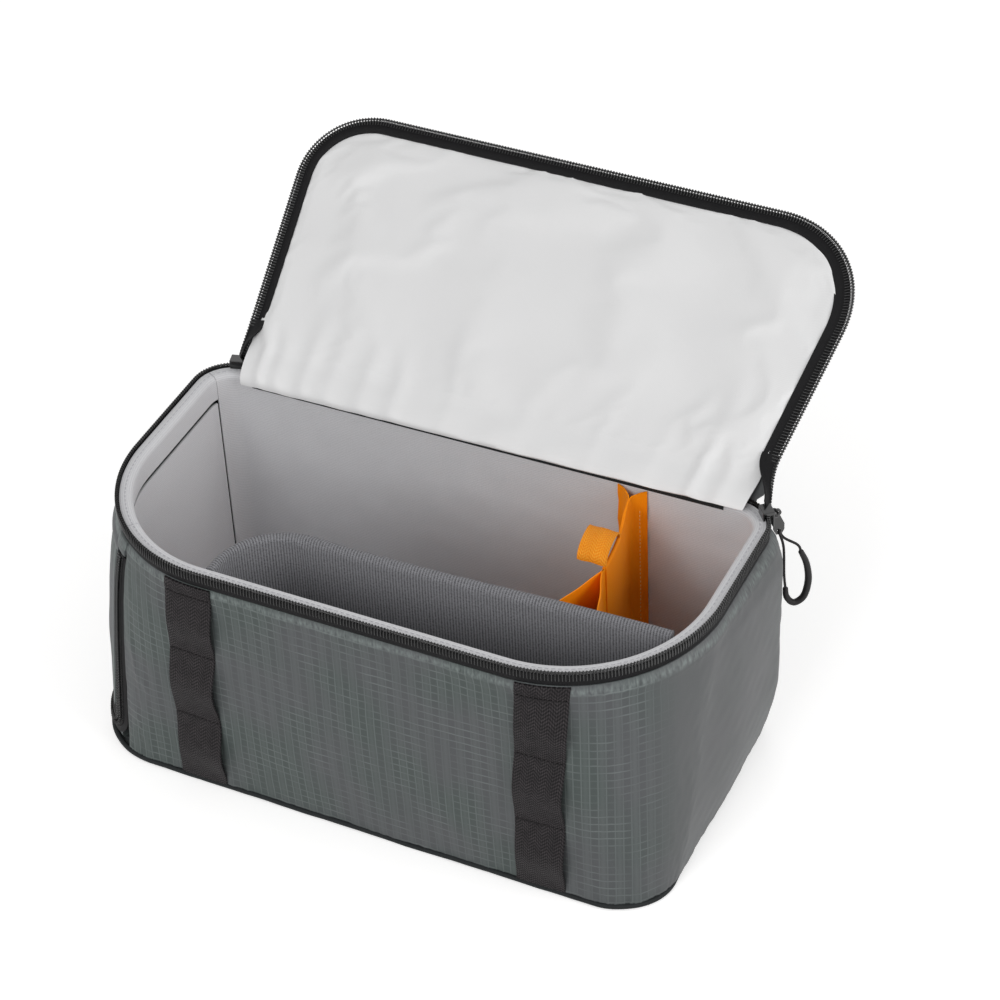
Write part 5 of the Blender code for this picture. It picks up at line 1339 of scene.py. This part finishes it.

# %% [markdown]
# ## The end door
# The door is a piece of the padded wall inside a U of zip. Its places are given as a distance along the wall
# and a height, and the wall's formula puts them in space, so that the door, both halves of its zip and the
# frame all share one curve. Its cloth hinge is laid out at rest across the join and attached to neither body.

# %% Places on the door
DOOR_CORNER, DOOR_TAPE_LENGTH = 0.012, 0.43


def door_line(offset, spacing=0.002):
    """The zip's U as (along, z): down one side, round a corner, across and up again, moved out by offset."""
    half, bottom, radius = DOOR_HALF + offset, ZIP_BOTTOM - offset, DOOR_CORNER + offset
    down = np.linspace(DOOR_TOP, bottom + radius, int((DOOR_TOP - bottom - radius) / spacing))
    turn = np.linspace(0, QUARTER, 9)[1:]
    across = np.linspace(half - radius, 0, int((half - radius) / spacing))[1:]
    along = np.concatenate([np.full_like(down, half), half - radius + radius * np.cos(turn), across])
    z = np.concatenate([down, bottom + radius - radius * np.sin(turn), np.full_like(across, bottom)])
    return np.concatenate([along, -along[-2::-1]]), np.concatenate([z, z[-2::-1]])


def door_points(offset, inset):
    """The zip's U in space, at an inset from the wall's face."""
    along, z = door_line(offset)
    return wall(door_station(along, z), z, inset)


def door_grid(edge, columns=71, rows=45):
    """A grid over the door inside its zip line by edge, as (along, z) and shares across and up."""
    half, bottom = DOOR_HALF - edge, ZIP_BOTTOM + edge
    radius = max(DOOR_CORNER - edge, 0.0003)
    across = np.sin(np.linspace(-QUARTER, QUARTER, columns)) * 0.5 + np.linspace(-1, 1, columns) * 0.5
    along = half * across
    beyond = np.clip(np.abs(along) - (half - radius), 0, radius)
    low = bottom + radius - np.sqrt(np.maximum(radius ** 2 - beyond ** 2, 0))
    share = np.linspace(0, 1, rows)
    z = low[None] + (DOOR_TOP - low)[None] * share[:, None]
    return np.broadcast_to(along, z.shape), z, np.broadcast_to(across, z.shape), share[:, None]


# %% Door pad and lining
def door_pad():
    """The door's padding: a crowned outside framed by the zip tape, and a flat inside."""
    along, z, across, share = door_grid(0.0083)
    crown = 0.0034 * (1 - across ** 4) * np.maximum(np.sin(np.pi * share), 0) ** 0.7
    soft = 0.0003 * ripples(along, z, 0.04, 61) + 0.00035 * pleats(along, 62) * np.exp(-(1 - share) / 0.05)
    frame_roll = 0.0006 * np.exp(-((1 - np.abs(across)) / 0.04) ** 2)
    outer = wall(door_station(along, z), z, -crown - soft * (1 - across ** 8) - frame_roll)
    inner_along, inner_z, _, _ = door_grid(0.0010)
    inner = inner_wall(door_station(inner_along, inner_z), inner_z, FOAM_DEPTH)
    return thick_cloth("end_door_pad", outer, inner, np.stack([along, z], -1))


door_piece = door_pad()
dress(door_piece, ripstop, "end_door", "ripstop", "door_skin", "door_foam")
along, z, across, share = door_grid(0.0010)
soft = 0.0003 * np.abs(ripples(along, z, 0.05, 63)) * (1 - across ** 6) * np.sin(np.pi * share)
stations = door_station(along, z)
door_lining = thick_cloth("end_door_lining", inner_wall(stations, z, LINING_OUTER),
                          inner_wall(stations, z, LINING_INNER + soft), np.stack([along, z], -1))
dress(door_lining, lining, "end_door", "lining", "door_lining")
sill_marks = np.linspace(-TOP_EDGE, TOP_EDGE, 61)
sill_rows = np.array([SKIN_BOTTOM, 0.0060, 0.0085, 0.0105, 0.0112])
sill_bulge = np.array([0.0, 0.0012, 0.0014, 0.0008, -0.0006])
station = door_station(sill_marks[None], sill_rows[:, None])
sill = thick_cloth("door_sill_pad", wall(station, sill_rows[:, None], FOAM_OUTER - sill_bulge[:, None]),
                   inner_wall(station, sill_rows[:, None], FOAM_DEPTH),
                   grid_uv(sill_marks[None], sill_rows[:, None]))
dress(sill, ripstop, "shell", "ripstop", "door_sill")

# %% Door zip
def door_zip(side, body, name, far, shift):
    """One half of the door's zip: side is -1 on the door and 1 on the frame."""
    offsets = [0.0001, 0.0020, 0.0035, 0.0052, far]
    lifts = [0.0, -0.0004, -0.0002, -0.0004, 0.0]
    rows = [door_points(side * offset, lift) for offset, lift in zip(offsets, lifts)]
    normal = unit(door_points(side * 0.003, -0.001) - door_points(side * 0.003, 0.0))
    tape_band(name + "_tape", rows, -0.0009 * normal, DOOR_TAPE_LENGTH, body, name + "_zip_tape")
    line = door_points(side * 0.00115, -0.0013)
    out = unit(door_points(side * 0.00115, -0.0023) - line)
    toward = unit(door_points(0.0, -0.0013) - line)
    if side > 0:
        extra = np.array([0, 0, 1.0]) * np.linspace(0.0014, 0.0145, 8)[:, None]
        line = np.concatenate([line, line[-1] + extra])
        out, toward = [np.concatenate([v, np.repeat(v[-1:], 8, 0)]) for v in (out, toward)]
    loop = [(-0.0030, -0.00085), (-0.0014, -0.0008), (-0.0002, -0.0007), (0.00055, -0.0004),
            (0.00072, 0.0001), (0.0003, 0.00062), (-0.0005, 0.00072), (-0.0012, 0.0004)]
    zip_teeth(name + "_coil_teeth", line, toward, out, loop, DOOR_CORE, body, name + "_zip_coil",
              radius=0.00031, shift=shift)


door_zip(-1, "end_door", "door", 0.0080, 0.0)
door_zip(1, "shell", "frame", 0.0068, 0.5)

# %% Garage and the door's cloth hinge
garage_share = np.linspace(-0.5, 0.5, 13)
garage_z = np.array([0.1400, 0.1403, 0.1425, 0.1450, 0.1475, 0.1496, 0.1499])
garage_puff = np.array([0.0, 0.0010, 0.0016, 0.0018, 0.0014, 0.0010, 0.0])
puff = garage_puff[:, None] * (0.55 + 0.45 * (1 - (2 * garage_share) ** 4))[None]
station = door_station(DOOR_HALF + 0.012 * garage_share[None], garage_z[:, None])
garage = thick_cloth("zip_garage_cloth", wall(station, garage_z[:, None], -0.0004 - puff),
                     wall(station, garage_z[:, None], -0.0003),
                     grid_uv(0.012 * garage_share[None], garage_z[:, None]))
dress(garage, ripstop, "shell", "ripstop", "zip_garage")
hinge_marks = np.linspace(-0.0745, 0.0745, 61)
fold = [(0.1438, 0.0002), (0.1418, -0.0007), (0.1400, -0.0010), (0.1382, -0.0008), (0.1362, 0.0001)]
fold_lines = [wall(door_station(hinge_marks, z), z, inset) for z, inset in fold]
strip_between("door_hinge_cloth", fold_lines, -0.0008, "door_hinge_seam",
              ("shell", "end_door", (-0.185, 0.03, 0.1412), (-0.185, 0.03, 0.1388)))

# %% [markdown]
# ## Webbing bars
# Two straps of heavy webbing are sewn down the front, with cross seams that leave three flat
# loops. The strap is a ribbon whose distance from the wall is a bell between two seams, and it
# thins and dips where the thread pulls it in. The seams are rows of dark stitches.

# %% Webbing
def front_station(x, z):
    """The station at which the front wall lies at x: on a corner, centre + r sin or cos gives the angle."""
    radii = corner_radii(z)
    left, right = radii[1] - HALF_LENGTH, HALF_LENGTH - radii[2]
    on_left = 2 + np.arccos(np.clip((left - x) / radii[1], -1, 1)) / QUARTER
    on_right = 4 + np.arcsin(np.clip((x - right) / radii[2], -1, 1)) / QUARTER
    return np.where(x < left, on_left, np.where(x > right, on_right, 3 + (x - left) / (right - left)))


SEAMS = np.array([SKIN_BOTTOM + 0.0003, 0.0520, 0.1000, 0.1415, SKIN_TOP - 0.0003])
STITCH_ROWS = (0.0520, 0.1000, 0.1415, 0.1445)
LOOP_LIFT = np.array([0, 0.0034, 0.0036, 0.0030, 0.0003])
STRAP_WIDTH = 0.030


def webbing_surface(x, z, shares, lean, lift):
    """Points over a bar: the distance off the wall is lift * sin^2 between seams, and edges curl in."""
    between = np.searchsorted(SEAMS, z, side="right").clip(1, len(SEAMS) - 1)
    share = (z - SEAMS[between - 1]) / (SEAMS[between] - SEAMS[between - 1])
    off = LOOP_LIFT[between] * np.sin(np.pi * np.clip(share, 0, 1)) ** 2
    sway = lean * np.sin(np.pi * share) * np.array([0, 1, -1, 1, 0])[between]
    across = x + STRAP_WIDTH * shares[None] + sway[:, None]
    tilt = 1 + 0.35 * shares[None] * 2 * np.sign(lean)
    return wall(front_station(across, z[:, None]), z[:, None], -0.0003 - off[:, None] * tilt - lift)


def webbing_bar(name, x, lean, node):
    """A bar as a thick ribbon, and stitches across each seam."""
    z = np.linspace(SEAMS[0], SEAMS[-1], 117)
    shares = np.linspace(-0.5, 0.5, 13)
    near = np.min(np.abs(z[:, None] - SEAMS[None, 1:4]), axis=1)
    dip = 0.00045 * np.exp(-(near / 0.0009) ** 2)
    thin = 1 - 0.25 * (2 * shares[None]) ** 8
    face = webbing_surface(x, z, shares, lean, (0.00135 - dip)[:, None] * thin)
    back = webbing_surface(x, z, shares, lean, 0.0)
    made = thick_cloth(name, face, back, grid_uv(STRAP_WIDTH * shares[None], z[:, None]))
    dress(made, webbing, "shell", "webbing", node)
    seam_shares = np.linspace(-0.48, 0.48, 25)
    for number, height in enumerate(STITCH_ROWS):
        line, beyond = [webbing_surface(x, np.array([height]), seam_shares, lean, lift)[0]
                        for lift in (0.00125, 0.00225)]
        stitch_row(name + f"_seam_{number + 1}", line, unit(beyond - line), 0.0027, 0.72, 0.00033,
                   thread_dark, "shell", "webbing")


webbing_bar("left_webbing", -0.102, 0.0008, "left_webbing_bar")
webbing_bar("right_webbing", 0.116, 0.0005, "right_webbing_bar")

# %% [markdown]
# ## The long divider
# The divider is a soft board covered in knit. Its profile, up one side, over a round top and
# down the other, is carried along a path that leaves the front wall, bends and runs to the
# right end. Cloth simulation with a little pressure then fills it between its held edges.

# %% Long divider
DIVIDER_END = (0.16646, -0.0265)


def divider_path():
    """The middle line: straight from the front wall, a quarter turn, then a smooth shift towards the end.

    The shift is y = y0 + (y1 - y0) s^2 (3 - 2 s), with s the share of the way in x.
    """
    y = np.linspace(-0.0786, -0.072, 4)
    start = np.column_stack([np.full_like(y, -0.093), y])
    turn = np.linspace(np.pi, QUARTER, 22)[1:]
    arc = np.array([-0.054, -0.072]) + 0.039 * np.column_stack([np.cos(turn), np.sin(turn)])
    s = np.linspace(0, 1, 78)[1:]
    x = -0.054 + (DIVIDER_END[0] + 0.054) * s
    shift = -0.033 + (DIVIDER_END[1] + 0.033) * s * s * (3 - 2 * s)
    return np.concatenate([start, arc, np.column_stack([x, shift])])


def padded_board(name, path, half, low, high, steps, crown=0.0):
    """A closed profile along a path in plan: side points are path + half * n, the top is a half circle."""
    z_side = np.linspace(low, high - half, steps)
    turn = np.linspace(0, np.pi, 9)[1:-1]
    across = np.concatenate([np.full(steps, half), half * np.cos(turn), np.full(steps, -half)])
    z = np.concatenate([z_side, high - half + half * np.sin(turn), z_side[::-1]])
    along = unit(np.gradient(path, axis=0))
    normal = np.column_stack([along[:, 1], -along[:, 0]])
    swell = 1 + crown * np.sin(np.pi * np.clip((z - low) / (high - low), 0, 1))
    points = np.zeros((len(path), len(z), 3))
    points[..., :2] = path[:, None] + normal[:, None] * (across * swell)[None, :, None]
    points[..., 2] = z
    columns = len(z)
    index = np.arange(len(path) * columns).reshape(len(path), columns)
    run = lengths_along(path)
    around = lengths_along(np.column_stack([across, z]))
    around = np.append(around, around[-1] + 2 * half)
    uv = grid_uv(run[:, None], around[None])
    faces, uvs = [grid_quads(index, True)], [grid_quads(uv)]
    pair = np.arange(columns // 2)
    for row in (index[0], index[-1]):
        ends = np.stack([row[pair[:-1]], row[pair[1:]], row[columns - 1 - pair[1:]],
                         row[columns - 1 - pair[:-1]]], -1)
        ends = ends if row is index[-1] else ends[:, ::-1]
        faces.append(ends)
        uvs.append(np.zeros(ends.shape + (2,)))
    return fill_mesh(name, points.reshape(-1, 3), faces, uvs, 50), z, points.shape


divider, levels, shape = padded_board("long_divider_board", divider_path(), 0.0031, 0.0081, 0.1552, 46, 0.06)
held = np.zeros(shape[:2])
held[:2], held[-2:] = 1, 1
held[:, levels < 0.012] = 1
settle(divider, held.reshape(-1), 14, 0.0012, pressure=3.0, stiffness=15.0, bending=2.0)
dress(divider, heather, "padded_divider", "charcoal", "long_divider")


def flap(name, path, low, high, thickness, finish, body, slot, node, steps=16, soft=0.0003):
    """An upright flap of cloth along a path in plan, with a slight wave; high may change along the path."""
    z = low + (np.broadcast_to(high, len(path))[None] - low) * np.linspace(0, 1, steps)[:, None]
    along = unit(np.gradient(path, axis=0))
    normal = np.column_stack([along[:, 1], -along[:, 0], np.zeros(len(path))])
    run = lengths_along(path)
    wave_out = soft * ripples(run[None], z, 0.02, 71)
    base = np.concatenate([np.broadcast_to(path, (steps,) + path.shape), z[..., None]], -1)
    face = base + normal[None] * (thickness / 2 + wave_out)[..., None]
    back = base - normal[None] * (thickness / 2 - wave_out)[..., None]
    uv = grid_uv(run[None], z)
    made = thick_cloth(name, face, back, uv)
    dress(made, finish, body, slot, *([node] if node else []))
    return face


for side, start, end in (("left", (-0.0963, -0.0795), (-0.0668, -0.0795)),
                         ("right", (0.16731, -0.0298), (0.16731, -0.0003))):
    flap(f"divider_{side}_hook_tab", np.linspace(start, end, 9), 0.0305, 0.1395, 0.0010, heather,
         "padded_divider", "charcoal", f"long_divider_{side}_tab", soft=0.0001)

# %% [markdown]
# ## The orange cross divider
# A thin panel of orange cloth, folded at its top, with two flaps at either end that spread like
# a Y and hold to the walls. A loop of ribbed webbing lies over its top as a pull. The flaps are
# thin ribbons along curved paths, and pale stitches run where they are sewn to the panel.

# %% Orange panel, flaps, loop
FRONT, BACK = np.array([0.106, 0.0185]), np.array([0.103, 0.046])
panel_path = FRONT + (BACK - FRONT) * np.linspace(0, 1, 14)[:, None]
panel_path[:, 0] += 0.0004 * np.sin(np.linspace(0, np.pi, 14))
panel, levels, shape = padded_board("orange_panel", panel_path, 0.00125, 0.0081, 0.1450, 40, 0.25)
dress(panel, orange, "orange_divider", "orange", "cross_divider")


def smooth_path(knots, count):
    """A Catmull-Rom curve through knots, as an array of evenly spaced points."""
    knots = np.array(knots, float)
    padded = np.concatenate([[2 * knots[0] - knots[1]], knots, [2 * knots[-1] - knots[-2]]])
    t = np.linspace(0, len(knots) - 1, count * 4)
    cell = np.minimum(t.astype(int), len(knots) - 2)
    f = (t - cell)[:, None]
    a, b, c, d = [padded[cell + k] for k in range(4)]
    curve = (2 * b + (c - a) * f + (2 * a - 5 * b + 4 * c - d) * f ** 2
             + (3 * b - a - 3 * c + d) * f ** 3) / 2
    return respaced(curve, lengths_along(curve)[-1] / (count - 1))


def orange_flap(name, side, knots, rise, node):
    """One flap along a curve through knots, its top rising evenly, with pale stitches near its end."""
    knots = np.array(knots) + [side * 0.0004, 0]
    path = smooth_path(knots, 26)
    run = lengths_along(path)
    face = flap(name, path, 0.0205, 0.1446 + rise * run / run[-1], 0.0007, orange, "orange_divider", "orange",
                node, 22, 0.0004)
    column = int(len(path) * 0.86)
    line = face[2:-2, column]
    out = unit(np.cross(face[2:-2, column + 1] - line, [0, 0, 1.0]))
    towards = np.sign(((face[5, column] - np.append(path[column], face[5, column, 2])) * out[0]).sum())
    stitch_row(name + "_stitches", line, out * towards, 0.0030, 0.7, 0.00028, thread_orange,
               "orange_divider", "orange")


for side, name in ((-1, "left"), (1, "right")):
    for end, rise, knots in (
            ("back", 0.0088, ((0.1030, 0, 0.0463), (0.1003, 0, 0.0590), (0.0974, 0, 0.0725),
                              (0.0972, 0.0030, 0.0765), (0.0972, 0.0060, 0.0786), (0.0970, 0.0088, 0.0795))),
            ("front", 0.0, ((0.1060, 0, 0.0182), (0.1060, 0, 0.0145), (0.1060, 0.0052, 0.0000),
                            (0.1060, 0.0098, -0.0130), (0.1060, 0.0122, -0.0195),
                            (0.1060, 0.0138, -0.0222)))):
        spread = [(x + side * out, y) for x, out, y in knots]
        node = f"cross_divider_{end}_fork" if side < 0 else None
        orange_flap(f"{end}_flap_{name}", side, spread, rise, node)
LOOP_WIDTH = 0.018
turn = np.linspace(0, np.pi, 27)
share = (1 - np.cos(turn)) / 2
width = np.linspace(-0.5, 0.5, 13)
middle = FRONT + (BACK - FRONT) * share[:, None] - [0.008, 0]
rise = 0.1454 + 0.0078 * np.sin(turn) ** 0.8
face = np.zeros((len(turn), len(width), 3))
face[..., :2] = middle[:, None] + np.array([LOOP_WIDTH, 0])[None, None] * width[None, :, None]
face[..., 2] = rise[:, None] + 0.0003 * np.cos(width * 9)[None]
tangent = unit(np.gradient(face, axis=0))
under = face - 0.0010 * unit(np.cross(tangent, unit(np.gradient(face, axis=1))))
under = 2 * face - under if (under - face)[13, 6, 2] > 0 else under
run = lengths_along(face[:, 6])
loop_piece = thick_cloth("orange_pull_loop", face, under, grid_uv(LOOP_WIDTH * width[None], run[:, None]))
loop_cloth = make_webbing("orange_webbing", srgb("f58a0c"), srgb("ffb63e"))
dress(loop_piece, loop_cloth, "orange_divider", "orange", "cross_divider_pull_loop")

# %% [markdown]
# ## Sliders and pulls
# The sliders and their tabs are hard parts whose CAD shape is right, so they stay and get a
# black enamel. The cords and grips are redrawn: a smooth cord that threads the tab, and a hooked
# rubber grip that holds both its ends, swept along curves in the pull's own plane.

# %% Slider finish
for name in ("left", "right", "door"):
    for part in ("_slider", "_pull_tab"):
        node = frame["nodes"][name + part]
        node.data.materials.clear()
        node.data.materials.append(enamel)


# %% Cord and grip
def pull_frame(origin, turn):
    """Maps the pull's own (out, side, up) to the row frame: out is at an angle in plan, up is z."""
    out = np.array([np.cos(turn), np.sin(turn), 0.0])
    side = np.array([-np.sin(turn), np.cos(turn), 0.0])
    return lambda p: np.array(origin) + p[:, :1] * out + p[:, 1:2] * side + p[:, 2:] * [0, 0, 1.0], side


def rounded_end(share):
    """The size of a round end: a quarter circle over the first two parts in a hundred, then 1."""
    return np.sqrt(np.clip(1 - (1 - share / 0.02) ** 2, 0, 1)) * (share < 0.02) + (share >= 0.02)


CORD_RADIUS = 0.0008
GRIP_KNOTS = ((0.725, 0, 0.448), (0.925, 0, 0.601), (1.0, 0, 0.783), (0.875, 0, 0.951), (0.575, 0, 1.0),
              (0.35, 0, 0.923), (0.30, 0, 0.811))


def pull_parts(name, origin, turn):
    """The cord loop and the hooked grip of one pull."""
    place, side = pull_frame(origin, turn)
    knots = np.array(GRIP_KNOTS) * [0.0200, 0, -0.0715]
    grip_line = smooth_path(knots, 56)
    s = np.linspace(0, 1, len(grip_line))
    ends = np.minimum(rounded_end(s), rounded_end(1 - s))
    radius = 0.0017 * (0.88 + 0.38 * np.sin(np.pi * s) ** 0.7) * np.maximum(ends, 0.45)
    grip = tube(name + "_grip", place(grip_line), radius, 16, side)
    dress(grip, rubber, name + "_zip_pull", "rubber", name + "_pull_grip")
    shift, hole = 0.0011, -0.0134
    first, last = knots[0], knots[-1]
    lead, tail = unit(first - knots[1]), unit(last - knots[-2])
    wide = np.array([0, 0.0019, 0])
    threaded = [np.array([shift + out, 0, hole + up]) + wide * share for out, up, share in
                ((0.004, -0.0084, 1), (0.0006, -0.0013, 1), (0, -0.0003, 0.75), (0, 0.0003, 0),
                 (0, -0.0003, -0.75), (0, -0.0013, -1), (0.0026, -0.0124, -1))]
    cord_knots = [first - lead * 0.002, first + lead * 0.004 + wide / 3, *threaded,
                  last + tail * 0.010 - wide * 2 / 3, last - tail * 0.002]
    cord = tube(name + "_cord", place(smooth_path(cord_knots, 90)), CORD_RADIUS, 10,
                side + np.array([0.013, 0.007, 0.02]))
    dress(cord, cord_braid, name + "_zip_pull", "cord", name + "_pull_cord")


joints = {joint["name"]: joint for joint in frame["joints"]}
for name in ("left", "right", "door"):
    joint = joints[name + "_pull_swing"]
    axis = joint["axis"]
    pull_parts(name, joint["pos_m"], np.arctan2(axis[1], axis[0]) + QUARTER)
